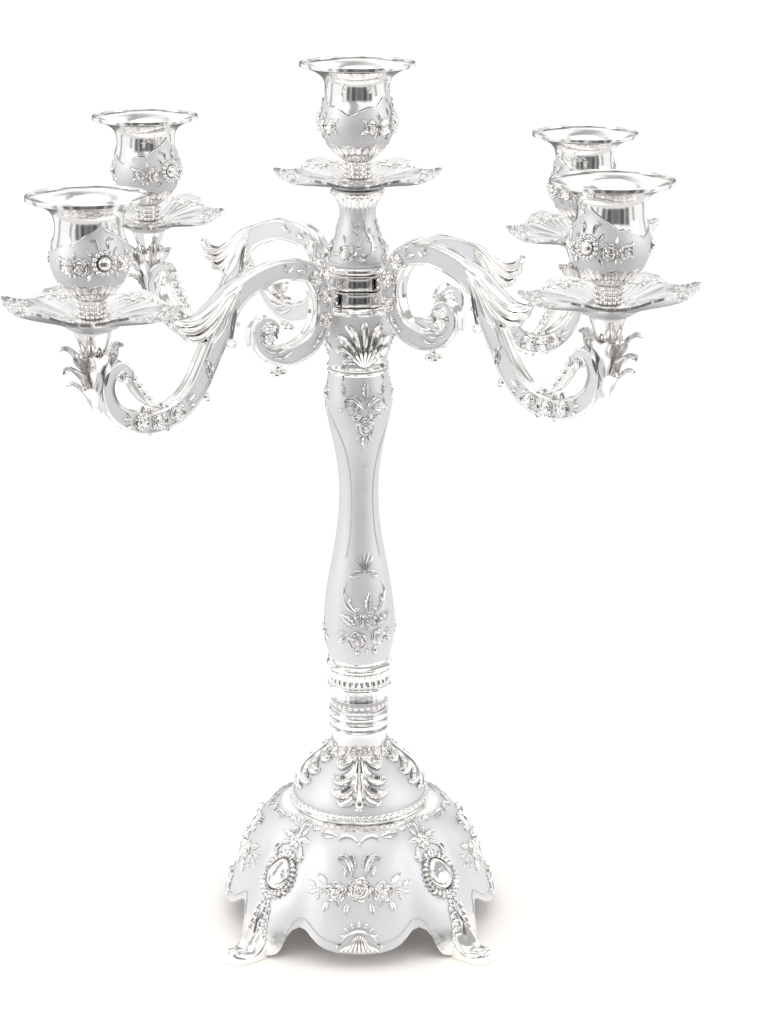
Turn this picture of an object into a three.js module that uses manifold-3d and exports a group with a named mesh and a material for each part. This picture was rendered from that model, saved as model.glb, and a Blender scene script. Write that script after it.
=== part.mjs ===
// Five-light silver-plated table candelabra. A four-lobed domed base on four scroll feet carries a
// baluster column. Two pairs of scroll arms turn on stacked rings round the top of the column, and each
// light is a flared candle cup that turns on a stud over a dished drip pan.
// Millimetres, +Z up, origin on the table under the column's axis, front towards -Y.

import * as THREE from "three";
import { mergeVertices } from "three/addons/utils/BufferGeometryUtils.js";
import Module from "manifold-3d";

const wasm = await Module();
wasm.setup();

// ---------------------------------------------------------------- driving dimensions

const TURN_GAP = 0.3; // clearance between a piece and the one it turns on, or is cut for
const SEAT_GAP = 0.1; // hairline between castings that are stacked and clamped

const base = {
  ringRadius: 29.6, // rope ring between the skirt and the dome
  ringHeight: 52,
  ringDepth: 2.6,
  lobeReach: 29.6, // how far a lobe's lower edge stands out from the ring
  cornerReach: 37.5, // the same at a corner, if it ran down as far as a lobe
  lobeEdge: 7, // height of the skirt's edge at the middle of a lobe
  cornerEdge: 17, // and at a corner, where the leg leaves it
  wall: 2.2,
  deck: 4, // thickness of the seat at the dome's top
  domeHeight: 27,
};
const foot = {
  toe: 77, // axis to the tip of the toe
  sole: 10,
  width: 15, // across the toe
  hipWidth: 24, // across the corner where the leg leaves it
  ankle: 62,
  ankleHeight: 12,
  hip: 50,
  hipHeight: 27,
};
const neck = { height: 25.3, radius: 12.9 };
const flutedRing = { height: 12.9, radius: 14.1 };
const column = { height: 128.6, radius: 15.2, wall: 2.2, web: 4 };
const capital = { height: 26.5, radius: 14.1 };
const ring = { height: 6.35, radius: 12.2, wall: 3.3 };
const stem = { height: 33.3, radius: 12.4, topRadius: 11 };
const rod = { radius: 3, intoStem: 14, belowNut: 3 };
const washer = { radius: 8, thickness: 1.5 };
const nut = { acrossFlats: 10, height: 5 };
const stud = { radius: 2, intoSeat: 9, intoCup: 10 };
const screw = { shank: 1.5, head: 2.5, headHeight: 1.4, intoArm: 6 };
const arm = {
  reach: 126.2, // column axis to cup axis
  rise: 4.4, // cup seat above the middle of the ring
  thickness: 6.6,
  lugRadius: 3, // round lug that meets the ring
  neckRadius: 5.6, // round seat under the drip pan
  leafRadius: 12, // tips of the leaf cup
  leafDepth: 30, // leaf cup from the seat down to its point
  volute: 7,
};
const pan = { radius: 31.8, thickness: 1.2, lobes: 6, lobeDepth: 2, rim: 5.5, wave: 2.2, boss: 9 };
const cup = {
  height: 48.5,
  rimRadius: 22.9,
  bellyRadius: 14.8,
  neckRadius: 13.1,
  footRadius: 7.6,
  bore: 11.1, // takes a 22 mm candle
  boreDepth: 24,
};

// Where each light's arm points, in degrees from +X. Each pair shares one ring.
const lights = [
  { name: "front_left", tier: "lower", azimuth: -141.2 },
  { name: "rear_right", tier: "lower", azimuth: 38.8 },
  { name: "front_right", tier: "upper", azimuth: -42.3 },
  { name: "rear_left", tier: "upper", azimuth: 137.7 },
];

// ---------------------------------------------------------------- heights, from the table up

const domeTop = base.ringHeight + base.domeHeight;
const neckFoot = domeTop + SEAT_GAP;
const flutedFoot = neckFoot + neck.height + SEAT_GAP;
const columnFoot = flutedFoot + flutedRing.height + SEAT_GAP;
const capitalFoot = columnFoot + column.height + SEAT_GAP;
const capitalTop = capitalFoot + capital.height;
const lowerRingFoot = capitalTop + TURN_GAP;
const upperRingFoot = lowerRingFoot + ring.height + TURN_GAP;
const spigotTop = upperRingFoot + ring.height + TURN_GAP;
const stemFoot = spigotTop + SEAT_GAP;
const stemTop = stemFoot + stem.height;
const ringBore = ring.radius - ring.wall;
const spigotRadius = ringBore - TURN_GAP;
const rodBore = rod.radius + TURN_GAP;
const washerTop = domeTop - base.deck - SEAT_GAP;
const nutTop = washerTop - washer.thickness - SEAT_GAP;
const rodFoot = nutTop - nut.height - rod.belowNut;
const rodTop = stemFoot + rod.intoStem;
const studBore = stud.radius + TURN_GAP;

// ---------------------------------------------------------------- finishes

const satinSilver = { color: 0xd9dcdf, roughness: 0.42, metalness: 1 };
const brightSilver = { color: 0xeceef0, roughness: 0.12, metalness: 1 };
const plainSteel = { color: 0xb9bcc0, roughness: 0.35, metalness: 1 };

// ---------------------------------------------------------------- shape helpers

const ROUND = 24; // sides of a turned casting
const SMALL = 12; // sides of rods, studs and screws
const radians = THREE.MathUtils.degToRad;

// A closed three.js geometry as a solid that can be joined and cut.
function solidOf(geometry) {
  const bare = geometry.clone();
  bare.deleteAttribute("normal");
  bare.deleteAttribute("uv");
  const merged = mergeVertices(bare, 1e-4);
  const corners = merged.index.array;
  const triVerts = [];
  for (let i = 0; i < corners.length; i += 3) {
    const [a, b, c] = corners.slice(i, i + 3);
    if (a !== b && b !== c && c !== a) triVerts.push(a, b, c);
  }
  return new wasm.Manifold(
    new wasm.Mesh({
      numProp: 3,
      vertProperties: merged.attributes.position.array,
      triVerts: new Uint32Array(triVerts),
    }),
  );
}

function meshOf(name, solid, finish) {
  const { vertProperties, triVerts } = solid.getMesh();
  const geometry = new THREE.BufferGeometry();
  geometry.setAttribute("position", new THREE.BufferAttribute(vertProperties, 3));
  geometry.setIndex(new THREE.BufferAttribute(triVerts, 1));
  geometry.computeVertexNormals();
  const mesh = new THREE.Mesh(geometry, new THREE.MeshStandardMaterial(finish));
  mesh.name = name;
  return mesh;
}

// Turns an outline of [radius, height] points about +Z. The outline runs anticlockwise, up the outside,
// from the axis to the axis.
function turnedGeometry(outline, sides = ROUND) {
  const points = outline.map(([radius, height]) => new THREE.Vector2(radius, height));
  return new THREE.LatheGeometry(points, sides).rotateX(Math.PI / 2);
}

function turned(outline, sides = ROUND) {
  return solidOf(turnedGeometry(outline, sides));
}

function rodSolid(radius, foot, top, sides = SMALL) {
  return turned([[0, foot], [radius, foot], [radius, top], [0, top]], sides);
}

// A smooth line through [radius, height] points, as more of the same.
function smooth(points, steps) {
  const curve = new THREE.SplineCurve(points.map(([x, y]) => new THREE.Vector2(x, y)));
  return curve.getPoints(steps).map(({ x, y }) => [x, y]);
}

// The outside of a turned casting: [share of height, share of radius] control points at its full size.
function silhouette(height, radius, shares, steps) {
  return smooth(shares.map(([up, out]) => [out * radius, up * height]), steps);
}

// Moves every vertex to where place(azimuth, radius, height) puts it.
function warped(geometry, place) {
  const position = geometry.getAttribute("position");
  for (let i = 0; i < position.count; i++) {
    const [x, y, z] = [position.getX(i), position.getY(i), position.getZ(i)];
    const azimuth = Math.atan2(y, x);
    const [radius, height] = place(azimuth, Math.hypot(x, y), z);
    position.setXYZ(i, radius * Math.cos(azimuth), radius * Math.sin(azimuth), height);
  }
  return geometry;
}

// A flat shape drawn in reach (x) and height (y), stood up in the XZ plane and centred on it.
function plate(shape, thickness, curveSegments = 8) {
  const geometry = new THREE.ExtrudeGeometry(shape, { depth: thickness, bevelEnabled: false, curveSegments });
  return solidOf(geometry.rotateX(Math.PI / 2).translate(0, thickness / 2, 0));
}

// ---------------------------------------------------------------- base casting

const LOBE_SIDES = 40;
const SKIRT_STEPS = 4;
const DOME_STEPS = 4;

// 1 along a diagonal, falling to 0 half way to the middle of a lobe and staying there.
function cornerShare(azimuth) {
  return ((1 - Math.cos(4 * azimuth)) / 2) ** 4;
}

function skirtEdge(azimuth) {
  return base.lobeEdge + ((base.cornerEdge - base.lobeEdge) * (1 - Math.cos(4 * azimuth))) / 2;
}

// The lobes swell out under the ring, and the corners run down straighter and further.
function skirtRadius(azimuth, height) {
  const drop = Math.max(0, (base.ringHeight - height) / (base.ringHeight - base.lobeEdge));
  const lobe = base.lobeReach * drop ** 0.45;
  const corner = base.cornerReach * drop ** 0.8;
  return base.ringRadius + lobe + (corner - lobe) * cornerShare(azimuth);
}

// The base's outer form, with every radius less inset.
function lobedBody(inset) {
  const skirtHeight = base.ringHeight - base.lobeEdge;
  const outline = [[0, base.lobeEdge]];
  for (let i = 0; i < SKIRT_STEPS; i++) {
    const drop = (1 - i / SKIRT_STEPS) ** 2;
    outline.push([base.ringRadius, base.ringHeight - drop * skirtHeight]);
  }
  const ringTop = base.ringHeight + base.ringDepth;
  const dome = smooth(
    [
      [base.ringRadius - 1, ringTop],
      [base.ringRadius - 2.6, base.ringHeight + 0.3 * base.domeHeight],
      [0.73 * base.ringRadius, base.ringHeight + 0.63 * base.domeHeight],
      [neck.radius + 2.6, base.ringHeight + 0.83 * base.domeHeight],
      [neck.radius - 1, domeTop],
    ],
    DOME_STEPS,
  );
  outline.push([base.ringRadius, base.ringHeight], [base.ringRadius, ringTop], ...dome, [0, domeTop]);
  const geometry = warped(turnedGeometry(outline, LOBE_SIDES), (azimuth, radius, height) => {
    if (radius < 1e-6) return [0, height];
    if (height >= base.ringHeight) return [radius - inset, height];
    const drop = (base.ringHeight - height) / skirtHeight;
    const lowered = base.ringHeight - drop * (base.ringHeight - skirtEdge(azimuth));
    return [skirtRadius(azimuth, lowered) - inset, lowered];
  });
  return solidOf(geometry);
}

// One leg, in the plane of its diagonal: out of the corner, in at the ankle and out again to the toe.
// It narrows from the corner down to the toe.
function legSolid() {
  const heel = foot.toe - foot.sole;
  const shape = new THREE.Shape();
  shape.moveTo(heel, 0);
  shape.lineTo(foot.toe - 1, 0);
  shape.quadraticCurveTo(foot.toe + 0.6, 3, foot.toe - 1.4, 5.4);
  shape.quadraticCurveTo(foot.ankle + 5, 5, foot.ankle + 2.6, foot.ankleHeight);
  shape.quadraticCurveTo(foot.ankle, foot.ankleHeight + 6, foot.hip + 3.5, foot.hipHeight);
  shape.lineTo(foot.hip - 1, foot.hipHeight - 3);
  shape.quadraticCurveTo(foot.ankle - 5, foot.ankleHeight + 3, foot.ankle - 3, foot.ankleHeight - 3);
  shape.quadraticCurveTo(foot.ankle - 1, 2, heel, 0);
  const taper = new THREE.Shape();
  const [toe, hip] = [foot.width / 2, foot.hipWidth / 2];
  taper.moveTo(-toe, -1);
  taper.lineTo(toe, -1);
  taper.quadraticCurveTo(toe, foot.ankleHeight, hip, foot.hipHeight + 1);
  taper.lineTo(-hip, foot.hipHeight + 1);
  taper.quadraticCurveTo(-toe, foot.ankleHeight, -toe, -1);
  return plate(shape, foot.hipWidth, 4).intersect(plate(taper, 3 * foot.toe, 4).rotate([0, 0, 90]));
}

function baseCasting() {
  let body = lobedBody(0);
  body = body.subtract(lobedBody(base.wall).translate([0, 0, -base.deck]));
  for (const corner of [45, 135, 225, 315]) {
    body = body.add(legSolid().rotate([0, 0, corner]));
  }
  return body.subtract(rodSolid(rodBore, base.ringHeight, domeTop + 1));
}

// ---------------------------------------------------------------- column

function withRodBore(solid, height) {
  return solid.subtract(rodSolid(rodBore, -1, height + 1));
}

function neckCollar() {
  const { height, radius } = neck;
  const plain = radius - 1.2;
  const ridgesFoot = 0.3 * height;
  const ridgesTop = 0.84 * height;
  return withRodBore(
    turned([
      [0, 0],
      [plain, 0],
      [plain, ridgesFoot],
      [radius, ridgesFoot + 1],
      [radius, ridgesTop],
      [plain + 0.4, ridgesTop + 1],
      [plain + 0.4, height],
      [0, height],
    ]),
    height,
  );
}

function flutedCollar() {
  const { height, radius } = flutedRing;
  const flutes = radius - 0.7;
  const lip = 0.24 * height;
  return withRodBore(
    turned([
      [0, 0],
      [flutes, 0],
      [radius, lip / 2],
      [flutes, lip],
      [flutes, height - lip],
      [radius, height - lip / 2],
      [flutes, height],
      [0, height],
    ]),
    height,
  );
}

// Hollow baluster: the outline inside is the outside less the wall, between webs that hold the rod.
function columnSolid() {
  const { height, radius, wall, web } = column;
  const shares = [
    [0, 0.83],
    [0.06, 0.95],
    [0.13, 1],
    [0.25, 0.91],
    [0.45, 0.62],
    [0.585, 0.545],
    [0.7, 0.62],
    [0.85, 0.87],
    [0.905, 0.91],
    [1, 0.8],
  ];
  const outside = silhouette(height, radius, shares, 11);
  const inside = outside
    .filter(([, up]) => up > web && up < height - web)
    .map(([out, up]) => [out - wall, up]);
  const cavity = turned([[0, inside[0][1]], ...inside, [0, inside.at(-1)[1]]]);
  return withRodBore(turned([[0, 0], ...outside, [0, height]]).subtract(cavity), height);
}

// The bulb under the rings, with the spigot that both rings turn on.
function capitalSolid() {
  const { height, radius } = capital;
  const shares = [[0, 0.84], [0.2, 0.87], [0.45, 0.99], [0.65, 1], [0.87, 0.92], [1, 0.84]];
  const outside = silhouette(height, radius, shares, 7);
  const spigot = spigotTop - capitalFoot;
  return withRodBore(
    turned([[0, 0], ...outside, [spigotRadius, height], [spigotRadius, spigot], [0, spigot]]),
    spigot,
  );
}

function stemSolid() {
  const { height, radius, topRadius } = stem;
  const vase = smooth(
    [
      [radius - 0.4, 0.1 * height],
      [radius - 1, 0.27 * height],
      [0.66 * radius, 0.56 * height],
      [0.6 * radius, 0.76 * height],
      [topRadius - 1.6, 0.91 * height],
      [topRadius, 0.95 * height],
    ],
    9,
  );
  const lip = [[radius - 0.4, 0], [radius, 0.03 * height], [radius, 0.08 * height]];
  const body = turned([[0, 0], ...lip, ...vase, [topRadius, height], [0, height]]);
  return body
    .subtract(rodSolid(rodBore, -1, rod.intoStem + 1))
    .subtract(rodSolid(studBore, height - stud.intoSeat - 1, height + 1));
}

// ---------------------------------------------------------------- hidden fixings

function nutSolid() {
  const hexagon = rodSolid(nut.acrossFlats / Math.sqrt(3), 0, nut.height, 6);
  return hexagon.subtract(rodSolid(rodBore, -1, nut.height + 1));
}

function washerSolid() {
  const disc = rodSolid(washer.radius, 0, washer.thickness, ROUND);
  return disc.subtract(rodSolid(rodBore, -1, washer.thickness + 1));
}

// Along +X from the inside of the ring's wall, out through it into the arm's lug.
const screwStart = ringBore + TURN_GAP;
const screwEnd = ring.radius + TURN_GAP + screw.intoArm;
const SCREW_TURN = radians(7); // keeps the hole's facets off the edges of the ring's

function screwSolid(slack) {
  const shoulder = screwStart + screw.headHeight + slack;
  const outline = [
    [0, screwStart - slack],
    [screw.head + slack, screwStart - slack],
    [screw.head + slack, shoulder],
    [screw.shank + slack, shoulder],
    [screw.shank + slack, screwEnd + slack],
    [0, screwEnd + slack],
  ];
  return solidOf(turnedGeometry(outline, SMALL).rotateZ(SCREW_TURN).rotateY(Math.PI / 2));
}

// ---------------------------------------------------------------- arm rings and arms

// Local origin at the middle of the ring, with its two screw holes along the pair's line.
function ringSolid() {
  const half = ring.height / 2;
  const lip = 0.5;
  const outside = [
    [ring.radius - lip, -half],
    [ring.radius, lip - half],
    [ring.radius, half - lip],
    [ring.radius - lip, half],
  ];
  const body = turned([[0, -half], ...outside, [0, half]]);
  const hole = screwSolid(TURN_GAP);
  return body
    .subtract(rodSolid(ringBore, -half - 1, half + 1, ROUND))
    .subtract(hole)
    .subtract(hole.rotate([0, 0, 180]));
}

// The arm's centreline: distance along the arm, height, and half the band's width. The scroll is placed
// from the ring's wall and middle, and the bowl from the cup's axis and seat.
const scrollLine = [
  [40.5, -13, 3.2],
  [32.5, -18.6, 4.1],
  [23, -19.2, 4.2],
  [13, -15.6, 4.2],
  [7.8, -7, 4.2],
  [7.6, 3, 4.2],
  [13, 12.4, 4.3],
  [24, 15.2, 4.3],
  [34, 14.6, 4.3],
  [44.5, 11, 4.3],
  [52, 5, 4.3],
];
const bowlLine = [
  [-57.5, -8, 4.3],
  [-51, -19, 4.3],
  [-44, -30.5, 4.4],
  [-35, -37.6, 4.4],
  [-24, -39.8, 4.3],
  [-14, -37.8, 4],
  [-6.5, -32, 3.4],
  [-4, -24, 3],
  [-6.5, -17.8, 2.6],
  [-11.5, -16.6, 2.2],
  [-14.4, -20, 1.6],
];
const ARM_STEPS = 32;

function armBand() {
  const scroll = scrollLine.map(([along, up, half]) => new THREE.Vector3(ring.radius + along, up, half));
  const bowl = bowlLine.map(([along, up, half]) => new THREE.Vector3(arm.reach + along, arm.rise + up, half));
  const line = new THREE.CatmullRomCurve3([...scroll, ...bowl], false, "centripetal");
  const left = [];
  const right = [];
  for (let i = 0; i <= ARM_STEPS; i++) {
    const { x, y, z: half } = line.getPointAt(i / ARM_STEPS);
    const { x: dx, y: dy } = line.getTangentAt(i / ARM_STEPS);
    const side = half / Math.hypot(dx, dy);
    left.push(new THREE.Vector2(x - dy * side, y + dx * side));
    right.push(new THREE.Vector2(x + dy * side, y - dx * side));
  }
  return plate(new THREE.Shape([...left, ...right.reverse()]), arm.thickness);
}

// The leaf that lies over the shoulder, drawn from where the band starts down.
function shoulderLeaf() {
  const shape = new THREE.Shape();
  shape.moveTo(0, 4);
  shape.quadraticCurveTo(16, 0, 30, -15);
  shape.quadraticCurveTo(24, -22, 15, -21);
  shape.quadraticCurveTo(8, -12, 0, -4);
  return plate(shape, arm.thickness + 2, 3).translate([ring.radius + 46, 0, 10.5]);
}

function leafCup() {
  const { neckRadius, leafRadius, leafDepth } = arm;
  const tips = -0.2 * leafDepth;
  const side = smooth(
    [[1, -leafDepth], [0.33 * leafRadius, -0.7 * leafDepth], [0.5 * leafRadius, -0.45 * leafDepth], [leafRadius, tips]],
    6,
  );
  const neckSide = [[neckRadius, tips + 1], [neckRadius, -1.2], [neckRadius + 1.2, 0]];
  return turned([[0, -leafDepth], ...side, ...neckSide, [0, 0]], SMALL);
}

function armSolid() {
  const lugFoot = ring.radius + TURN_GAP;
  const lug = rodSolid(arm.lugRadius, lugFoot, lugFoot + 7).rotate([0, 90, 0]);
  const half = arm.thickness / 2;
  const volute = rodSolid(arm.volute, -half, half).rotate([90, 0, 0]);
  const drop = solidOf(new THREE.SphereGeometry(3.4, 8, 6)).translate([ring.radius + 28.6, 0, -24.4]);
  const cupAxis = [arm.reach, 0, arm.rise];
  return armBand()
    .add(volute.translate([ring.radius + 35, 0, -10]))
    .add(drop)
    .add(shoulderLeaf())
    .add(leafCup().translate(cupAxis))
    .add(lug)
    .subtract(screwSolid(TURN_GAP))
    .subtract(rodSolid(studBore, -stud.intoSeat - 1, 1).translate(cupAxis));
}

// ---------------------------------------------------------------- drip pan and candle cup

const PAN_SIDES = 30;
const CUP_SIDES = 18;

// A thin dish whose edge runs in and out and up and down with the lobes. Origin under its middle.
function panSolid() {
  const { radius, thickness, lobes, lobeDepth, rim, wave, boss } = pan;
  const hole = studBore;
  const under = [[boss, 0], [0.55 * radius, 0.6], [0.8 * radius, 0.45 * rim], [radius, rim]];
  const over = under.map(([out, up]) => [out - 0.2, up + thickness]).reverse();
  const middle = [[hole, 0], ...under, ...over, [hole, thickness], [hole, 0]];
  return solidOf(
    warped(turnedGeometry(middle, PAN_SIDES), (azimuth, out, up) => {
      const edgeShare = Math.max(0, (out - boss) / (radius - boss)) ** 2;
      const lobe = Math.cos(lobes * azimuth) * edgeShare;
      return [out + lobeDepth * lobe, up + wave * lobe];
    }),
  );
}

// Origin under the middle of the foot.
function cupSolid() {
  const { height, rimRadius, bellyRadius, neckRadius, footRadius, bore, boreDepth } = cup;
  const waist = 0.69 * footRadius;
  const bowl = smooth(
    [
      [waist, 0.19 * height],
      [0.55 * bellyRadius, 0.25 * height],
      [0.9 * bellyRadius, 0.37 * height],
      [bellyRadius, 0.5 * height],
      [0.95 * bellyRadius, 0.65 * height],
      [neckRadius, 0.8 * height],
      [neckRadius + 1, 0.89 * height],
      [rimRadius - 2, 0.965 * height],
    ],
    7,
  );
  const rim = [[rimRadius, height - 1.4], [rimRadius - 0.2, height - 0.4], [rimRadius - 1.2, height]];
  const flare = [[rimRadius - 3, height - 1], [bore + 3, 0.9 * height], [bore, 0.85 * height]];
  const floor = height - boreDepth;
  return turned([
    [0, 0],
    [footRadius, 0],
    [footRadius, 1.2],
    [waist, 3],
    ...bowl,
    ...rim,
    ...flare,
    [bore, floor],
    [0, floor],
  ], CUP_SIDES).subtract(rodSolid(studBore, -1, stud.intoCup + 1));
}

// The stud, pan and cup of one light. Origin at the middle of the seat that they stand on.
const panFoot = TURN_GAP;
const cupFoot = panFoot + pan.thickness + TURN_GAP;

function addLight(group, name) {
  const studMesh = meshOf("cup_stud_" + name, rodSolid(stud.radius, -stud.intoSeat, cupFoot + stud.intoCup), plainSteel);
  const panMesh = meshOf("drip_pan_" + name, panSolid(), brightSilver);
  const cupMesh = meshOf("candle_cup_" + name, cupSolid(), satinSilver);
  panMesh.position.z = panFoot;
  cupMesh.position.z = cupFoot;
  group.add(studMesh, panMesh, cupMesh);
}

// ---------------------------------------------------------------- assembly

const candelabra = new THREE.Group();

function place(name, solid, finish, height) {
  const mesh = meshOf(name, solid, finish);
  mesh.position.z = height;
  candelabra.add(mesh);
}

place("base_casting", baseCasting(), satinSilver, 0);
place("neck_collar", neckCollar(), brightSilver, neckFoot);
place("fluted_collar", flutedCollar(), brightSilver, flutedFoot);
place("column", columnSolid(), satinSilver, columnFoot);
place("capital", capitalSolid(), satinSilver, capitalFoot);
place("upper_stem", stemSolid(), satinSilver, stemFoot);
place("tie_rod", rodSolid(rod.radius, 0, rodTop - rodFoot), plainSteel, rodFoot);
place("base_washer", washerSolid(), plainSteel, washerTop - washer.thickness);
place("base_nut", nutSolid(), plainSteel, nutTop - nut.height);

const centre = new THREE.Group();
centre.position.z = stemTop;
addLight(centre, "centre");
candelabra.add(centre);

const ringFeet = { lower: lowerRingFoot, upper: upperRingFoot };
for (const [tier, ringFoot] of Object.entries(ringFeet)) {
  const pair = lights.filter((light) => light.tier === tier);
  const middle = ringFoot + ring.height / 2;
  const ringMesh = meshOf("arm_ring_" + tier, ringSolid(), brightSilver);
  ringMesh.position.z = middle;
  ringMesh.rotation.z = radians(pair[0].azimuth);
  candelabra.add(ringMesh);
  for (const { name, azimuth } of pair) {
    const turnedArm = new THREE.Group();
    turnedArm.position.z = middle;
    turnedArm.rotation.z = radians(azimuth);
    turnedArm.add(meshOf("arm_" + name, armSolid(), satinSilver));
    turnedArm.add(meshOf("arm_screw_" + name, screwSolid(0), plainSteel));
    const seat = new THREE.Group();
    seat.position.set(arm.reach, 0, arm.rise);
    addLight(seat, name);
    turnedArm.add(seat);
    candelabra.add(turnedArm);
  }
}

export default candelabra;
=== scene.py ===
"""Five-light silver-plated table candelabra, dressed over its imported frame.

Pieces are raised, turned and chased in millimetres and cast in metres. Reliefs are cut once as dies and
pressed onto the castings. Axes: +Z up, front towards -Y, origin on the table under the column.
"""

import sys

import logging
import math
from collections.abc import Callable, Sequence
from dataclasses import dataclass, field
from enum import Enum

import bmesh
import bpy
from mathutils import Matrix, Vector

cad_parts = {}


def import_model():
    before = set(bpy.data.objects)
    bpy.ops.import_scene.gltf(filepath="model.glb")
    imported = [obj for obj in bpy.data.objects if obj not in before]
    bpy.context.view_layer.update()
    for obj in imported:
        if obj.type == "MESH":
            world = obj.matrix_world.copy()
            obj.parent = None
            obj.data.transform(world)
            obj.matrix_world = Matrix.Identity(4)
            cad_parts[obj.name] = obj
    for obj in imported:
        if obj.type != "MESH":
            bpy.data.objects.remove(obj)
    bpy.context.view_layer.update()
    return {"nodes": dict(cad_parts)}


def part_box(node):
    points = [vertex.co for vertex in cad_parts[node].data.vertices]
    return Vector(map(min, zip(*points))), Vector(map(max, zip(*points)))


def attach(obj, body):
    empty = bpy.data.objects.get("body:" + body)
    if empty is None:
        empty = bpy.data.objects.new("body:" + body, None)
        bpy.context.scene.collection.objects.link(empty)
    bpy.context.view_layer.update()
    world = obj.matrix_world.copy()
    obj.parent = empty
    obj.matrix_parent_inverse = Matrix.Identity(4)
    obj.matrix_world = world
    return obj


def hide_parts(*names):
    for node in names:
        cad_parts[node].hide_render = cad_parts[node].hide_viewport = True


MM = 0.001
FULL_TURN = 2 * math.pi
log = logging.getLogger("candelabra")

Table = Sequence[tuple[float, float]]
Line = Sequence[tuple[float, ...]]
Row = tuple[str | float, ...]
Reach = Callable[[float, float], float]


# ---------------------------------------------------------------- lines and tables


def between(table: Table, place: float) -> float:
    """Reads a table of pairs at a place between them.

    Args:
        table: Pairs in rising order of their first number.
        place: Where to read it.

    Returns:
        The second number there, on straight lines between the pairs.
    """
    if place <= table[0][0]:
        return table[0][1]
    for (start, low), (end, high) in zip(table, table[1:]):
        if place <= end:
            return low + (high - low) * (place - start) / (end - start)
    return table[-1][1]


def flow(points: Line, steps: int) -> list[tuple[float, ...]]:
    """Draws a smooth line through a few points.

    Args:
        points: The points, each of any number of values.
        steps: How many pieces each stretch is cut into.

    Returns:
        The points of the smooth line, ends included.
    """
    ends = [points[0], *points, points[-1]]
    line = []
    for before, start, end, after in zip(ends, ends[1:], ends[2:], ends[3:]):
        for step in range(steps):
            t = step / steps
            line.append(
                tuple(
                    0.5 * (2 * b + (c - a) * t + (2 * a - 5 * b + 4 * c - d) * t * t
                           + (3 * b - a - 3 * c + d) * t**3)
                    for a, b, c, d in zip(before, start, end, after)
                )
            )
    return [*line, tuple(points[-1])]


def walk(points: Line, steps: int) -> list[tuple[float, Vector, tuple[float, ...]]]:
    """Walks a smooth line drawn through a few points.

    Args:
        points: The points, whose first two values are the place.
        steps: How many pieces each stretch is cut into.

    Returns:
        For each point of the line its share of the walk, the way it runs there, and the point.
    """
    path = flow(points, steps)
    last = len(path) - 1
    walked = []
    for index, point in enumerate(path):
        ahead, behind = path[min(index + 1, last)], path[max(index - 1, 0)]
        run = Vector((ahead[0] - behind[0], ahead[1] - behind[1])).normalized()
        walked.append((index / last, run, point))
    return walked


def eased(value: float) -> float:
    """Turns 0 to 1 into a soft step between the same ends."""
    held = min(1.0, max(0.0, value))
    return held * held * (3 - 2 * held)


def polar(azimuth: float, radius: float, height: float) -> Vector:
    """Places a point by its azimuth, radius and height."""
    return Vector((radius * math.cos(azimuth), radius * math.sin(azimuth), height))


# ---------------------------------------------------------------- grounds that reliefs lie on


@dataclass(frozen=True)
class Ground:
    """A flat bench, and the parent of every surface that takes a relief."""

    @property
    def turned_over(self) -> bool:
        """Says whether reliefs come out mirrored on this surface."""
        return False

    def point(self, across: float, along: float) -> Vector:
        """Gives the bench's point at a place."""
        return Vector((across, along, 0))

    def lay(self, across: float, along: float, up: float) -> Vector:
        """Stands a point on the surface.

        Args:
            across: Distance to the right of the relief's middle.
            along: Distance above the relief's middle.
            up: Height off the surface.

        Returns:
            The point.
        """
        here = self.point(across, along)
        right = self.point(across + 0.2, along) - here
        ahead = self.point(across, along + 0.2) - here
        return here + right.cross(ahead).normalized() * up


@dataclass(frozen=True)
class RoundGround(Ground):
    """The outside of a turned or lobed body, about one place on it."""

    reach: Reach
    azimuth: float
    height: float

    def point(self, across: float, along: float) -> Vector:
        """Gives the body's point at a distance round and up from the place."""
        radius = self.reach(self.azimuth, self.height)
        slope = (self.reach(self.azimuth, self.height + 0.5) - radius) / 0.5
        azimuth = self.azimuth + across / radius
        height = self.height + along / math.hypot(1, slope)
        return polar(azimuth, self.reach(azimuth, height), height)


@dataclass(frozen=True)
class DishGround(Ground):
    """The upper face of a dish, about one place on it, with along pointing outwards."""

    rise: Reach
    azimuth: float
    radius: float

    def point(self, across: float, along: float) -> Vector:
        """Gives the dish's point at a distance round and out from the place."""
        azimuth = self.azimuth - across / self.radius
        radius = self.radius + along
        return polar(azimuth, radius, self.rise(azimuth, radius))


@dataclass(frozen=True)
class SideGround(Ground):
    """One flat side of an upright band: side is -1 for the side facing -Y, and 1 for the other."""

    side: int
    offset: float

    @property
    def turned_over(self) -> bool:
        """Says whether reliefs come out mirrored on this side."""
        return self.side > 0

    def point(self, across: float, along: float) -> Vector:
        """Gives the side's point at a distance along the arm and a height."""
        return Vector((across, self.side * self.offset, along))

    def lay(self, across: float, along: float, up: float) -> Vector:
        """Stands a point off the side."""
        return self.point(across, along) + Vector((0, self.side * up, 0))


# ---------------------------------------------------------------- a piece in the making


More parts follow.
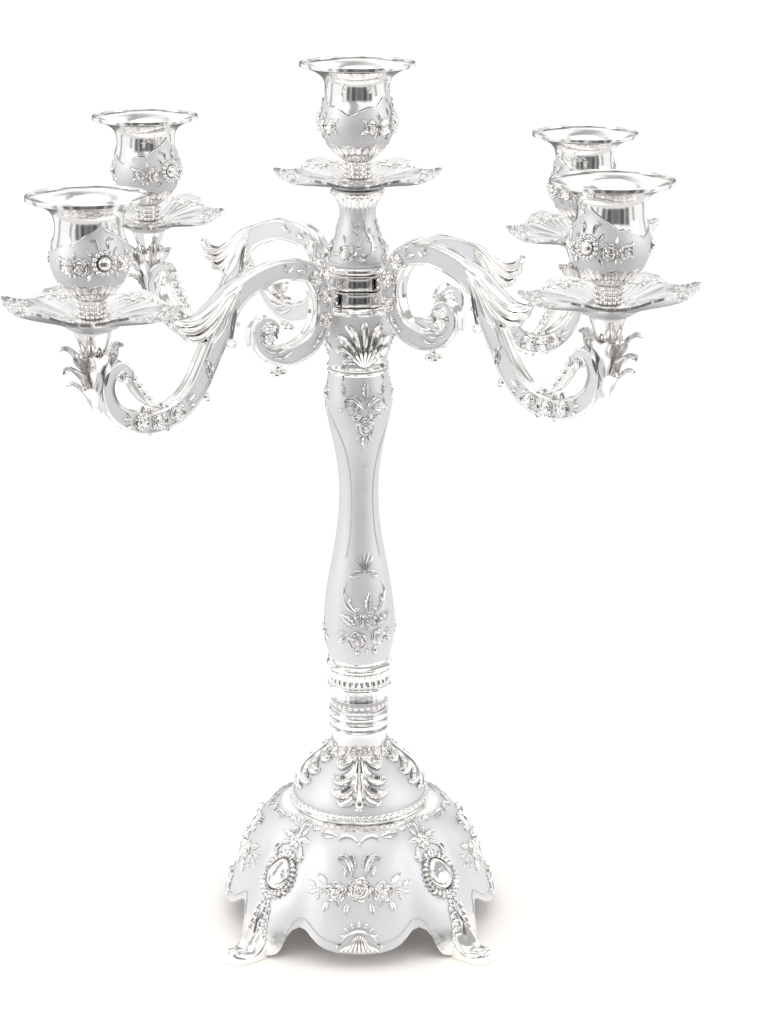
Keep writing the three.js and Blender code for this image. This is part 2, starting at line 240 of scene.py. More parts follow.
@dataclass
class Work:
    """A piece in the making, in millimetres, with how bright each point of it is polished."""

    name: str
    # How strongly the grooves of turned profiles are darkened with painted shade.
    groove: float = 0.8
    shape: bmesh.types.BMesh = field(default_factory=bmesh.new)

    def __post_init__(self) -> None:
        """Lays the polish and the painted shade down as numbers on each point."""
        self.shape.verts.layers.float.new("polish")
        self.shape.verts.layers.float.new("painted_shade")
        self.shine = self.shape.verts.layers.float["polish"]
        self.dark = self.shape.verts.layers.float["painted_shade"]

    def add(self, part: bmesh.types.BMesh) -> list[bmesh.types.BMVert]:
        """Joins a finished part on, and gives its points."""
        mesh = bpy.data.meshes.new("part")
        part.to_mesh(mesh)
        part.free()
        return self.join(mesh)

    def join(self, mesh: bpy.types.Mesh) -> list[bmesh.types.BMVert]:
        """Joins a mesh on, throws it away and gives its points."""
        count = len(self.shape.verts)
        self.shape.from_mesh(mesh)
        bpy.data.meshes.remove(mesh)
        self.shape.verts.ensure_lookup_table()
        return self.shape.verts[count:]

    def turn(self, profile: Table, steps: int, shine: float = 1.0) -> list[bmesh.types.BMVert]:
        """Turns a profile once round the upright axis.

        Args:
            profile: Radius and height of each point. It runs up the outside, and either starts and ends
                on the axis or comes back to its start.
            steps: How many sides the turned body has.
            shine: Its polish, 0 for frosted and 1 for bright.

        Returns:
            The body's points.
        """
        part = bmesh.new()
        points = [part.verts.new((radius, 0, height)) for radius, height in profile]
        edges = [part.edges.new(pair) for pair in zip(points, points[1:])]
        bmesh.ops.spin(
            part, geom=[*points, *edges], axis=(0, 0, 1), cent=(0, 0, 0),
            angle=FULL_TURN, steps=steps, use_merge=True,
        )
        bmesh.ops.remove_doubles(part, verts=part.verts, dist=1e-4)
        bmesh.ops.recalc_face_normals(part, faces=part.faces)
        # Painted shade: points at the profile's inward bends are darkened, as shade in the grooves.
        grooves = {}
        for before, here, after in zip(profile, profile[1:], profile[2:]):
            first, second = Vector(here) - Vector(before), Vector(after) - Vector(here)
            if first.length > 0.01 and second.length > 0.01:
                bend = first.normalized().cross(second.normalized())
                grooves[round(here[0], 2), round(here[1], 2)] = min(1.0, max(0.0, -2.2 * bend - 0.15))
        made = self.add(part)
        for point in made:
            place = round(math.hypot(point.co.x, point.co.y), 2), round(point.co.z, 2)
            point[self.shine] = shine
            point[self.dark] = self.groove * grooves.get(place, 0.0)
        return made

    def draw(
        self, sections: Sequence[Sequence[Vector]], shine: float | Sequence[float] = 1.0,
        dark: Sequence[float] = (),
    ) -> list[bmesh.types.BMVert]:
        """Draws a closed skin over a row of closed sections, shutting both ends.

        Args:
            sections: The sections in order, each a loop of the same number of points.
            shine: Its polish, one for all or one for each point of a section.
            dark: How much painted shade each point of a section gets. Empty is none.

        Returns:
            The skin's points.
        """
        middles = [sum(ends, Vector()) / len(ends) for ends in (sections[0], sections[-1])]
        width = len(sections[0])
        shines = [shine] * width if isinstance(shine, float) else shine
        darks = dark or [0.0] * width
        rows = [[middles[0]] * width, *sections, [middles[1]] * width]
        part = bmesh.new()
        part.verts.layers.float.new("polish")
        part.verts.layers.float.new("painted_shade")
        polish, painted_shade = part.verts.layers.float["polish"], part.verts.layers.float["painted_shade"]
        grid = bmesh.ops.create_grid(part, x_segments=width, y_segments=len(rows) - 1, size=1)
        for index, point in enumerate(grid["verts"]):
            row, column = divmod(index, width + 1)
            point.co = rows[row][column % width]
            point[polish] = shines[column % width]
            point[painted_shade] = darks[column % width]
        bmesh.ops.remove_doubles(part, verts=part.verts, dist=1e-5)
        bmesh.ops.recalc_face_normals(part, faces=part.faces)
        return self.add(part)

    def chase(
        self, line: Line, ground: Ground | None = None, crease: float = 1.0, teeth: int = 0,
        steps: int = 4, shine: float = 1.0,
    ) -> list[bmesh.types.BMVert]:
        """Raises a ridge, leaf or plume along a line on a ground.

        Args:
            line: Across, along, half width and height of each point that the ridge runs through.
            ground: What it lies on. None is the flat bench.
            crease: Height of its middle, as a share of its shoulders' height.
            teeth: How many notches each edge has.
            steps: How many pieces each stretch of the line is cut into.
            shine: Its polish.

        Returns:
            The ridge's points.
        """
        ground = ground or Ground()
        sections = []
        for share, run, (across, along, half, height) in walk(line, steps):
            if teeth:
                notch = abs(math.sin(math.pi * teeth * share))
                half *= 0.72 + 0.38 * notch
                height *= 0.8 + 0.2 * notch
            half = max(half, 0.05)
            outline = ((-1, -0.25), (-0.86, 0.55 * height), (-0.45, height), (0, crease * height),
                       (0.45, height), (0.86, 0.55 * height), (1, -0.25), (0, -0.3))
            sections.append(
                [ground.lay(across + run.y * side * half, along - run.x * side * half, up)
                 for side, up in outline]
            )
        # Painted shade: the ridge's foot where it meets its ground, its underside and its sunk middle are
        # darkened.
        return self.draw(sections, shine, (1, 0.55, 0, 0.25 if crease < 1 else 0, 0, 0.55, 1, 1))

    def chase_both(self, line: Line, crease: float = 1.0, steps: int = 4) -> None:
        """Raises a flat line and its mirror image."""
        for side in (-1, 1):
            self.chase([(across * side, *rest) for across, *rest in line], crease=crease, steps=steps)

    def ball(self, middle: Vector, radius: float, shine: float = 1.0, fine: int = 2) -> None:
        """Sets a round bead at a point."""
        made = bmesh.ops.create_icosphere(
            self.shape, subdivisions=fine, radius=radius, matrix=Matrix.Translation(middle)
        )
        for point in made["verts"]:
            point[self.shine] = shine

    def press(
        self, die: bpy.types.Mesh, ground: Ground, across: float = 0, along: float = 0, turn: float = 0,
        size: float = 1, mirror: bool = False, depth: float = 1, satin: float = 1,
    ) -> None:
        """Presses a die's relief onto a ground.

        Args:
            die: The relief, drawn flat about its middle.
            ground: What it goes on.
            across: Where its middle goes, to the right.
            along: Where its middle goes, upwards.
            turn: Degrees that it is turned anticlockwise.
            size: How much larger it is pressed than drawn.
            mirror: Whether its left and right change places.
            depth: How much more it stands up than its size gives.
            satin: What its polish is cut down to, as a share.
        """
        pressed = die.copy()
        for level in pressed.attributes["polish"].data:
            level.value *= satin
        cosine, sine = math.cos(math.radians(turn)), math.sin(math.radians(turn))
        for point in pressed.vertices:
            x, y, z = point.co
            if mirror:
                x = -x
            point.co = ground.lay(
                across + size * (x * cosine - y * sine), along + size * (x * sine + y * cosine),
                size * depth * z,
            )
        if mirror != ground.turned_over:
            pressed.flip_normals()
        self.join(pressed)

    def thicken(self, thickness: float) -> None:
        """Gives an open sheet its thickness, inwards from its outer face."""
        bmesh.ops.recalc_face_normals(self.shape, faces=self.shape.faces)
        bmesh.ops.solidify(self.shape, geom=list(self.shape.faces), thickness=thickness)

    def as_die(self) -> bpy.types.Mesh:
        """Keeps the work as a die, at the size it was drawn."""
        die = bpy.data.meshes.new(self.name)
        self.shape.to_mesh(die)
        self.shape.free()
        return die


def cast(die: bpy.types.Mesh, name: str, place: Matrix | None = None) -> bpy.types.Object:
    """Casts a finished piece in metres from its millimetre pattern.

    Args:
        die: The pattern.
        name: The piece's name.
        place: Where its origin goes, in millimetres.

    Returns:
        The piece, with its object at the origin.
    """
    mesh = die.copy()
    mesh.name = name
    mesh.transform(Matrix.Scale(MM, 4) @ (place or Matrix()))
    for polygon in mesh.polygons:
        polygon.use_smooth = True
    mesh.set_sharp_from_angle(angle=math.radians(48))
    piece = bpy.data.objects.new(name, mesh)
    bpy.context.scene.collection.objects.link(piece)
    return piece


# ---------------------------------------------------------------- finishes


class Tone(Enum):
    """The metals that the object is made of."""

    SILVER = "silver_plate"
    STEEL = "plain_steel"


@dataclass
class Wires:
    """The nodes of a material, a group or a world, with a short way to add and link them."""

    tree: bpy.types.NodeTree

    def add(
        self, kind: str, inputs: dict[str | int, object] | None = None, result: str = "",
        **choices: object,
    ) -> bpy.types.NodeSocket | bpy.types.Node:
        """Adds a node.

        Args:
            kind: Its type, without the words that every type begins with.
            inputs: What goes into its sockets: a value, or the socket that feeds it.
            result: The output that is wanted. Empty is the node itself.
            choices: Its own choices, set before its inputs.

        Returns:
            The wanted output, or the node.
        """
        node = self.tree.nodes.new("ShaderNode" + kind)
        for name, value in choices.items():
            setattr(node, name, value)
        self.feed(node, inputs or {})
        return node.outputs[result] if result else node

    def feed(self, node: bpy.types.Node, inputs: dict[str | int, object]) -> None:
        """Sets or links a node's inputs."""
        for name, value in inputs.items():
            if isinstance(value, bpy.types.NodeSocket):
                self.tree.links.new(value, node.inputs[name])
            else:
                node.inputs[name].default_value = value

    def sum(self, kind: str, *inputs: object) -> bpy.types.NodeSocket:
        """Adds one sum on numbers and gives its result."""
        return self.add("Math", dict(enumerate(inputs)), "Value", operation=kind)

    def ramp(self, value: object, span: tuple[float, float], onto: tuple[float, float] = (0.0, 1.0),
             kind: str = "LINEAR") -> bpy.types.NodeSocket:
        """Stretches a value's span onto another, and holds it there."""
        ends = {"From Min": span[0], "From Max": span[1], "To Min": onto[0], "To Max": onto[1]}
        return self.add("MapRange", {"Value": value, **ends}, "Result", interpolation_type=kind)

    def tones(self, share: object, start: object, end: object) -> bpy.types.NodeSocket:
        """Mixes two colours, each a red, green and blue or a socket."""
        both = [tone if isinstance(tone, bpy.types.NodeSocket) else (*tone, 1) for tone in (start, end)]
        return self.add("Mix", {"Factor": share, "A": both[0], "B": both[1]}, "Result", data_type="RGBA")

    def noise(self, scale: float, detail: float, place: object) -> bpy.types.NodeSocket:
        """Adds a noise with a number of waves in a metre and a number of finer octaves."""
        return self.add("TexNoise", {"Vector": place, "Scale": scale, "Detail": detail}, "Fac")


@dataclass(frozen=True)
class Silver:
    """Silver plate that is frosted where the polish is 0, bright where it is 1, and darkened by painted
    shade where the points carry it.
    """

    frosted: tuple[float, float, float] = (0.782, 0.774, 0.788)
    bright: tuple[float, float, float] = (0.965, 0.95, 0.93)
    # The dark colour of the painted shade laid into creases, grooves and hollows.
    painted_shade_colour: tuple[float, float, float] = (0.22, 0.215, 0.22)
    painted_shade: float = 0.7
    frosted_roughness: float = 0.54
    frosted_metal: float = 0.85
    bright_roughness: float = 0.07
    smear: float = 0.07
    cloud: float = 55.0
    cloud_shade: tuple[float, float] = (0.965, 1.02)
    ripple: float = 260.0
    grain: float = 1500.0
    grain_lift: float = 0.00004
    ripple_lift: float = 0.00012

    def effects(self) -> bpy.types.NodeTree:
        """Makes the shared group that gives colour, roughness and normal from the polish."""
        group = bpy.data.node_groups.new("silver_effects", "ShaderNodeTree")
        for name, kind in (("Color", "Color"), ("Roughness", "Float"), ("Metallic", "Float"),
                           ("Normal", "Vector")):
            group.interface.new_socket(name, in_out="OUTPUT", socket_type="NodeSocket" + kind)
        wires = Wires(group)
        place = wires.add("TexCoord", result="Object")
        polish = wires.add("Attribute", result="Fac", attribute_name="polish")
        painted_shade = wires.add("Attribute", result="Fac", attribute_name="painted_shade")
        cloud = wires.noise(self.cloud, 3.0, place)

        plate = wires.tones(polish, self.frosted, self.bright)
        # Painted shade: the dark colour is mixed in where the points carry painted shade, in creases,
        # grooves, hollows and at the feet of reliefs.
        shaded_plate = wires.tones(wires.sum("MULTIPLY", painted_shade, self.painted_shade), plate, self.painted_shade_colour)
        shade = wires.ramp(cloud, (0.3, 0.7), self.cloud_shade)
        toned = wires.add("VectorMath", {0: shaded_plate, "Scale": shade}, "Vector", operation="SCALE")
        metal = wires.ramp(polish, (0.0, 0.5), (self.frosted_metal, 1.0))
        dull = wires.ramp(polish, (0.0, 1.0), (self.frosted_roughness, self.bright_roughness))
        smeared = wires.sum("MULTIPLY_ADD", cloud, self.smear, dull)

        frost = self.frost(wires, polish)
        blasted = wires.add("Bump", {
            "Strength": frost, "Distance": self.grain_lift, "Height": wires.noise(self.grain, 2.0, place),
        }, "Normal")
        skin = wires.add("Bump", {
            "Strength": 0.5, "Distance": self.ripple_lift, "Height": wires.noise(self.ripple, 1.0, place),
            "Normal": blasted,
        }, "Normal")
        out = group.nodes.new("NodeGroupOutput")
        wires.feed(out, {"Color": toned, "Roughness": smeared, "Metallic": metal, "Normal": skin})
        return group

    @staticmethod
    def frost(wires: Wires, polish: bpy.types.NodeSocket) -> bpy.types.NodeSocket:
        """Gives how frosted the plate is: all that isn't polished."""
        return wires.add("Math", {0: 1.0, 1: polish}, "Value", operation="SUBTRACT", use_clamp=True)

    def material(self) -> bpy.types.Material:
        """Makes the silver's material."""
        made = bpy.data.materials.new(Tone.SILVER.value)
        made.use_nodes = True
        wires = Wires(made.node_tree)
        group = wires.add("Group", node_tree=self.effects()).outputs
        shader = made.node_tree.nodes["Principled BSDF"]
        wires.feed(shader, {"Base Color": group["Color"], "Roughness": group["Roughness"],
                            "Metallic": group["Metallic"], "Normal": group["Normal"]})
        return made


@dataclass(frozen=True)
class Steel:
    """Plain turned steel of the hidden rod, nut, studs and screws."""

    dark: tuple[float, float, float] = (0.42, 0.43, 0.45)
    light: tuple[float, float, float] = (0.60, 0.61, 0.63)
    marks: tuple[float, float, float] = (40, 40, 2500)
    mark_depth: float = 0.00005

    def material(self) -> bpy.types.Material:
        """Makes the steel's material, with fine turning marks across its length."""
        made = bpy.data.materials.new(Tone.STEEL.value)
        made.use_nodes = True
        wires = Wires(made.node_tree)
        place = wires.add("TexCoord", result="Object")
        stretch = wires.add("Mapping", {"Vector": place, "Scale": self.marks}, "Vector")
        marks = wires.add("TexNoise", {"Vector": stretch, "Scale": 1.0}, "Fac")
        bump = wires.add("Bump", {"Strength": 0.4, "Distance": self.mark_depth, "Height": marks}, "Normal")
        wires.feed(made.node_tree.nodes["Principled BSDF"], {
            "Metallic": 1.0, "Base Color": wires.tones(marks, self.dark, self.light),
            "Roughness": wires.ramp(marks, (0.0, 1.0), (0.25, 0.45)), "Normal": bump,
        })
        return made


# ---------------------------------------------------------------- the dies


@dataclass
class Dies:
    """The small reliefs that are cut once and pressed all over the candelabra, a unit in size."""

    rose: bpy.types.Mesh = field(init=False)
    small_rose: bpy.types.Mesh = field(init=False)
    leaf: bpy.types.Mesh = field(init=False)
    curled_leaf: bpy.types.Mesh = field(init=False)
    bud: bpy.types.Mesh = field(init=False)
    bead: bpy.types.Mesh = field(init=False)
    flower: bpy.types.Mesh = field(init=False)
    medallion: bpy.types.Mesh = field(init=False)
    cabochon: bpy.types.Mesh = field(init=False)

    def __post_init__(self) -> None:
        """Cuts every die."""
        self.rose = self.disc("rose", self.rose_height, 15, 40)
        self.small_rose = self.disc("small_rose", self.rose_height, 11, 26)
        self.flower = self.disc("flower", self.flower_height, 9, 40)
        self.medallion = self.disc("medallion", self.medallion_height, 20, 104)
        self.medallion.transform(Matrix.Diagonal((0.78, 1, 1, 1)))
        self.cabochon = self.disc("cabochon", self.cabochon_height, 20, 84)
        self.leaf = self.cut_leaf()
        self.curled_leaf = self.cut_curled_leaf()
        self.bud = self.cut_bud()
        self.bead = self.cut_bead()

    @staticmethod
    def disc(name: str, height: Reach, rings: int, spokes: int) -> bpy.types.Mesh:
        """Cuts a round die whose face rises and falls.

        Args:
            name: The die's name.
            height: Gives the face's height at an azimuth and a radius.
            rings: How many rings of points its face has.
            spokes: How many points each ring has.

        Returns:
            The die, one unit in radius.
        """
        work = Work(name)
        face = [(ring / rings, 0.0) for ring in range(rings, -1, -1)]
        points = work.turn([(0, -0.12), (0.96, -0.12), *face], spokes)
        for point in points:
            if point.co.z > -0.01:
                radius = math.hypot(point.co.x, point.co.y)
                azimuth = math.atan2(point.co.y, point.co.x)
                point.co.z = height(azimuth, radius)
                if 0.7 < radius < 1.01:
                    swell = height(azimuth, -1)
                    point.co.x *= swell
                    point.co.y *= swell
            # Painted shade: the lower a point of the face lies, the darker it is, down in the hollows
            # between petals, ribs and beads.
            point[work.dark] = 1 - eased((point.co.z - 0.01) / 0.16)
        return work.as_die()

    @staticmethod
    def rose_height(azimuth: float, radius: float) -> float:
        """Gives a full rose's height: rings of petals with turned-up edges round a bud.

        Args:
            azimuth: Where on the rose.
            radius: How far out, or -1 to ask how far its outline swells.

        Returns:
            The height, or the swell.
        """
        if radius < 0:
            return 0.93 + 0.09 * abs(math.cos(2.5 * azimuth))
        rows = ((1.0, 0.22, 5, 0.0), (0.74, 0.33, 4, 0.7), (0.48, 0.41, 3, 0.2), (0.24, 0.46, 2, 1.0))
        top = 0.0
        for index, (edge, lift, petals, turned) in enumerate(rows):
            rim = edge * (0.90 + 0.12 * abs(math.cos(petals / 2 * (azimuth - turned))))
            inner = rows[index + 1][0] * 0.9 if index < len(rows) - 1 else 0.0
            if radius <= rim:
                sunk = min(1.0, (rim - radius) / max(0.05, rim - inner))
                top = lift * min(1.0, 0.35 + (rim - radius) / 0.05) - 0.6 * lift * eased(sunk * 1.15)
        if radius < 0.12:
            top = 0.46
        return max(0.0, top)

    @staticmethod
    def flower_height(azimuth: float, radius: float) -> float:
        """Gives an open five-petalled flower's height, or its outline's swell for a radius of -1."""
        petal = abs(math.cos(2.5 * azimuth))
        if radius < 0:
            return 0.62 + 0.42 * petal**0.6
        if radius < 0.24:
            return 0.34 * math.sqrt(max(0.0, 1 - (radius / 0.26) ** 2)) + 0.04
        return 0.30 * math.sin(math.pi * min(1.0, (radius - 0.18) / 0.85)) * (0.35 + 0.65 * petal**0.7)

    @staticmethod
    def medallion_height(azimuth: float, radius: float) -> float:
        """Gives a cartouche's height: a polished dome, a rib, a row of beads and short rays round it."""
        if radius < 0:
            return 0.96 + 0.05 * math.cos(26 * azimuth)
        dome = 0.08 + 0.27 * math.sqrt(max(0.0, 1 - (radius / 0.60) ** 2)) if radius < 0.59 else 0.0
        rib = 0.20 * math.exp(-(((radius - 0.67) / 0.035) ** 2))
        rays = 0.22 * eased((radius - 0.71) / 0.06) * eased((1.0 - radius) / 0.14)
        return max(dome, rib, rays * (0.25 + 0.75 * abs(math.cos(13 * azimuth))) + 0.01)

    @staticmethod
    def cabochon_height(azimuth: float, radius: float) -> float:
        """Gives a small medallion's height: a dome in a ring of plump beads."""
        if radius < 0:
            return 0.93 + 0.08 * abs(math.cos(7 * azimuth))
        dome = 0.10 + 0.30 * math.sqrt(max(0.0, 1 - (radius / 0.5) ** 2)) if radius < 0.49 else 0.0
        beads = math.sqrt(max(0.0, 1 - ((radius - 0.78) / 0.2) ** 2))
        return max(dome, 0.30 * beads * (0.3 + 0.7 * abs(math.cos(7 * azimuth)) ** 0.6))

    @staticmethod
    def cut_leaf() -> bpy.types.Mesh:
        """Cuts a pointed, notched leaf one unit long, from its stalk at the middle upwards."""
        work = Work("leaf")
        work.chase(
            [(0, 0, 0.04, 0.05), (0, 0.18, 0.16, 0.12), (0, 0.45, 0.26, 0.17), (0.02, 0.72, 0.19, 0.13),
             (0.03, 1, 0.01, 0.04)], crease=0.45, teeth=4, steps=4,
        )
        return work.as_die()

    @staticmethod
    def cut_curled_leaf() -> bpy.types.Mesh:
        """Cuts a leaf that bends to the right and curls over at its tip."""
        work = Work("curled_leaf")
        work.chase(
            [(0, 0, 0.07, 0.07), (0.04, 0.3, 0.15, 0.14), (0.17, 0.6, 0.19, 0.18), (0.40, 0.82, 0.15, 0.22),
             (0.62, 0.80, 0.10, 0.22), (0.68, 0.66, 0.05, 0.16)], crease=0.6, teeth=0, steps=4,
        )
        return work.as_die()

    @staticmethod
    def cut_bud() -> bpy.types.Mesh:
        """Cuts a plump bud one unit long."""
        work = Work("bud")
        work.chase(
            [(0, 0, 0.10, 0.10), (0, 0.3, 0.26, 0.26), (0, 0.65, 0.27, 0.28), (0, 1, 0.04, 0.08)], steps=3
        )
        return work.as_die()

    @staticmethod
    def cut_bead() -> bpy.types.Mesh:
        """Cuts a round bead of unit radius that stands half out of its ground."""
        work = Work("bead")
        work.ball(Vector((0, 0, 0.1)), 1.0, fine=1)
        # Painted shade: the bead's underside, where it sits in its ground, is darkened.
        for point in work.shape.verts:
            point[work.dark] = 1.0 if point.co.z < 0.05 else 0.0
        return work.as_die()


def press_spray(work: Work, dies: Dies, rows: Sequence[Row]) -> None:
    """Presses a spray of small dies flat onto a work.

    Args:
        work: What they are pressed on.
        dies: The small dies.
        rows: For each its die, across, along, turn and size, and True where its mirror image is pressed too.
    """
    for name, across, along, turn, size, *both in rows:
        die = getattr(dies, name)
        work.press(die, Ground(), across, along, turn, size)
        if both:
            work.press(die, Ground(), -across, along, -turn, size, mirror=True)


def spray_die(name: str, dies: Dies, rows: Sequence[Row]) -> bpy.types.Mesh:
    """Gathers a spray of small dies into one die."""
    work = Work(name)
    press_spray(work, dies, rows)
    return work.as_die()


# ---------------------------------------------------------------- where things stand


@dataclass(frozen=True)
class Light:
    """Where one candle cup stands, in millimetres, and how far its relief is turned."""

    name: str
    body: str
    relief_turn: float

    @property
    def cup_box(self) -> tuple[Vector, Vector]:
        """Gives the cup's lowest and highest corners."""
        low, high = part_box("candle_cup_" + self.name)
        return Vector(low) / MM, Vector(high) / MM

    @property
    def middle(self) -> Vector:
        """Gives the axis and foot of the cup."""
        low, high = self.cup_box
        return Vector(((low.x + high.x) / 2, (low.y + high.y) / 2, low.z))

    @property
    def azimuth(self) -> float:
        """Gives the way from the column to the cup."""
        return math.atan2(self.middle.y, self.middle.x)


def foot_of(node: str) -> float:
    """Gives a node's lowest height in millimetres."""
    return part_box(node)[0][2] / MM


def top_of(node: str) -> float:
    """Gives a node's highest height in millimetres."""
    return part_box(node)[1][2] / MM


# ---------------------------------------------------------------- base


@dataclass
class Base:
    """The four-lobed hollow foot: skirt, four scroll feet, rope ring and dome."""

    dies: Dies
    ring_radius: float = 29.6
    ring_height: float = 52.0
    lobe_reach: float = 29.6
    lobe_depth: float = 45.0
    wall: float = 1.5
    columns: int = 360
    rows: int = 22
    dome_foot: float = 54.4
    dome_top: float = 79.0
    edge: Table = (
        (0, 0.9), (8, 1.4), (10.5, 2.6), (12, 6), (13, 9.5), (15, 13), (18, 14.7), (21, 14.2), (23.5, 12.4),
        (24.5, 11.6), (25.5, 11.0), (27.5, 9.6), (31, 8.2), (36, 7.3), (45, 7.0),
    )
    corner: Table = (
        (0, 64.6), (3, 64.2), (10, 62.4), (15, 60.4), (21, 56.8), (26.5, 52), (32, 47), (39, 41.8),
        (46, 36), (50, 32), (52, 29.6),
    )
    dome: Line = (
        (54.4, 28.4), (57, 28.1), (60, 27.0), (63.5, 25.0), (67, 22.4), (70, 19.7), (73, 16.7), (75.6, 14.1),
        (77.4, 12.6), (79, 11.9),
    )

    def __post_init__(self) -> None:
        """Smooths the dome's outline."""
        self.dome_line = flow(self.dome, 3)

    @staticmethod
    def from_corner(azimuth: float) -> float:
        """Gives how many degrees an azimuth is from the nearest corner."""
        return abs(math.degrees(azimuth) % 90 - 45)

    def edge_height(self, azimuth: float) -> float:
        """Gives the height of the skirt's lower edge."""
        return between(self.edge, self.from_corner(azimuth))

    def reach(self, azimuth: float, height: float) -> float:
        """Gives the skirt's radius: lobes that swell out at once, and corners that run on into the legs."""
        off = self.from_corner(azimuth)
        drop = max(0.0, (self.ring_height - height) / self.lobe_depth)
        lobe = self.ring_radius + self.lobe_reach * drop**0.45
        lobe -= 1.5 * math.exp(-(((off - 19) / 7) ** 2)) * min(1.0, 3 * drop)
        share = ((1 + math.cos(math.radians(4 * off))) / 2) ** 4
        leg = between(self.corner, height) - 2.2 * min(1.2, (off / 12) ** 2) * eased((24 - height) / 16)
        return lobe + (leg - lobe) * share

    def dome_reach(self, azimuth: float, height: float) -> float:
        """Gives the dome's radius."""
        return between(self.dome_line, height)

    def skirt(self, work: Work) -> None:
        """Raises the skirt and the legs as one sheet."""
        last = self.rows + 3
        points = work.turn([(self.ring_radius, -row) for row in range(last + 1)], self.columns, 0.0)
        for point in points:
            row = round(-point.co.z)
            azimuth = math.atan2(point.co.y, point.co.x)
            foot = self.edge_height(azimuth)
            if row <= self.rows:
                run = (row / self.rows) ** 1.45
                height = self.ring_height - (self.ring_height - foot - 1.6) * run
            else:
                height = foot + (0.9, 0.4, 0.0)[row - self.rows - 1]
            radius = self.reach(azimuth, height)
            if self.from_corner(azimuth) > 20:
                radius += 0.12 * math.exp(-(height - foot) / 1.2)
            point.co = polar(azimuth, radius, height)
            near_edge = 0.3 if row > self.rows else 0.0
            leg = eased((15 - height) / 5) if self.from_corner(azimuth) < 15 else 0.0
            point[work.shine] = max(near_edge, 0.85 * leg, eased((height - 50.6) / 1.0))
        work.thicken(self.wall)

    def toe(self, work: Work, azimuth: float) -> None:
        """Adds one curled toe under a leg."""
        shape = flow(
            ((56.5, 9.5, 13.5), (60, 11.0, 12.6), (63.5, 11.4, 9.4), (66.5, 10.8, 6.6), (69.5, 10.0, 5.0),
             (72.5, 9.0, 5.3), (75, 7.4, 6.0), (76.8, 5.0, 5.3), (77.6, 2.4, 3.4)), 3,
        )
        out = Vector((math.cos(azimuth), math.sin(azimuth), 0))
        side = Vector((-out.y, out.x, 0))
        sections = []
        for radius, half, top in shape:
            low = 1.3 if radius < 62 else 0.0
            loop = []
            for index in range(24):
                angle = FULL_TURN * index / 24
                ridge = 1 + 0.05 * math.cos(5 * angle) * eased((radius - 60) / 4)
                rise = math.sin(angle)
                lift = top * ridge * rise**0.75 if rise > 0 else low
                spread = half * 0.62 * math.copysign(abs(math.cos(angle)) ** 0.7, math.cos(angle))
                loop.append(out * radius + side * spread + Vector((0, 0, max(low, lift))))
            sections.append(loop)
        work.draw(sections, 1.0)

    def leg_leaf(self) -> bpy.types.Mesh:
        """Cuts the leaf that runs down a leg."""
        work = Work("leg_leaf")
        work.chase([(0, 9, 0.5, 0.7), (0, 4, 1.5, 1.5), (0.2, -2, 1.2, 1.3), (0, -8, 1.6, 1.3),
                    (0, -13, 0.4, 0.5)], crease=1.3)
        for index in range(6):
            high = 6.5 - 3.0 * index
            reach = 3.7 + 0.35 * index
            work.chase_both([(0.7, high, 0.4, 0.6), (0.6 * reach, high + 1.0, 0.9, 1.1),
                             (reach, high - 0.7, 0.75, 0.9), (reach + 0.3, high - 2.1, 0.25, 0.4)],
                            crease=0.8, steps=3)
        for across, along in ((0, 10.5), (-1.7, 9.0), (1.7, 9.0)):
            work.press(self.dies.bead, Ground(), across, along, size=1.1)
        return work.as_die()

    def garland(self) -> bpy.types.Mesh:
        """Gathers the three roses and their leaves that lie on each lobe."""
        return spray_die("garland", self.dies, (
            ("rose", 0, 0.9, 0, 5.4), ("rose", 9.8, -0.4, 15, 4.5, True),
            ("leaf", 13.8, 2.4, -58, 6.6, True), ("leaf", 14.4, -0.6, -96, 5.4, True),
            ("leaf", 19.0, 0.2, -66, 4.6, True), ("leaf", 18.6, -1.4, -112, 4.4, True),
            ("leaf", 16.8, -2.6, -150, 3.6, True), ("curled_leaf", 3.0, 6.0, -2, 9.6, True),
            ("leaf", 5.4, 6.0, -30, 5.6, True), ("curled_leaf", 1.6, 9.6, 6, 5.4, True),
            ("leaf", 4.6, -4.2, -168, 6.2, True), ("leaf", 12.6, -4.0, -158, 6.2, True),
            ("leaf", 8.6, -3.4, -176, 3.6, True),
        ))

    def shell(self) -> bpy.types.Mesh:
        """Cuts the ribbed shell on the lower edge of a lobe."""
        work = Work("shell")
        for rib in range(-4, 5):
            lean = rib / 4
            work.chase(
                [(0.55 * rib, 2.2 - 1.2 * lean * lean, 0.42, 0.7), (1.0 * rib, -0.6 - lean * lean, 0.6, 1.2),
                 (1.75 * rib, -4.2, 0.85, 1.0), (2.0 * rib, -5.2, 0.4, 0.3)], crease=1.2, steps=3,
            )
        work.chase([(-7.2, -0.8, 0.4, 0.8), (-5.2, 2.2, 0.85, 1.5), (0, 3.9, 1.0, 1.7),
                    (5.2, 2.2, 0.85, 1.5), (7.2, -0.8, 0.4, 0.8)], crease=1.15)
        for step in range(-3, 4):
            angle = 24 * step
            reach = math.radians(angle)
            work.press(self.dies.bud, Ground(), 5.6 * math.sin(reach), -0.6 + 5.6 * math.cos(reach), -angle,
                       3.2 - 0.25 * abs(step))
        work.chase_both([(7.4, -1.5, 0.5, 0.9), (9.0, -2.4, 0.7, 1.0), (9.3, -4.0, 0.3, 0.5)])
        return work.as_die()

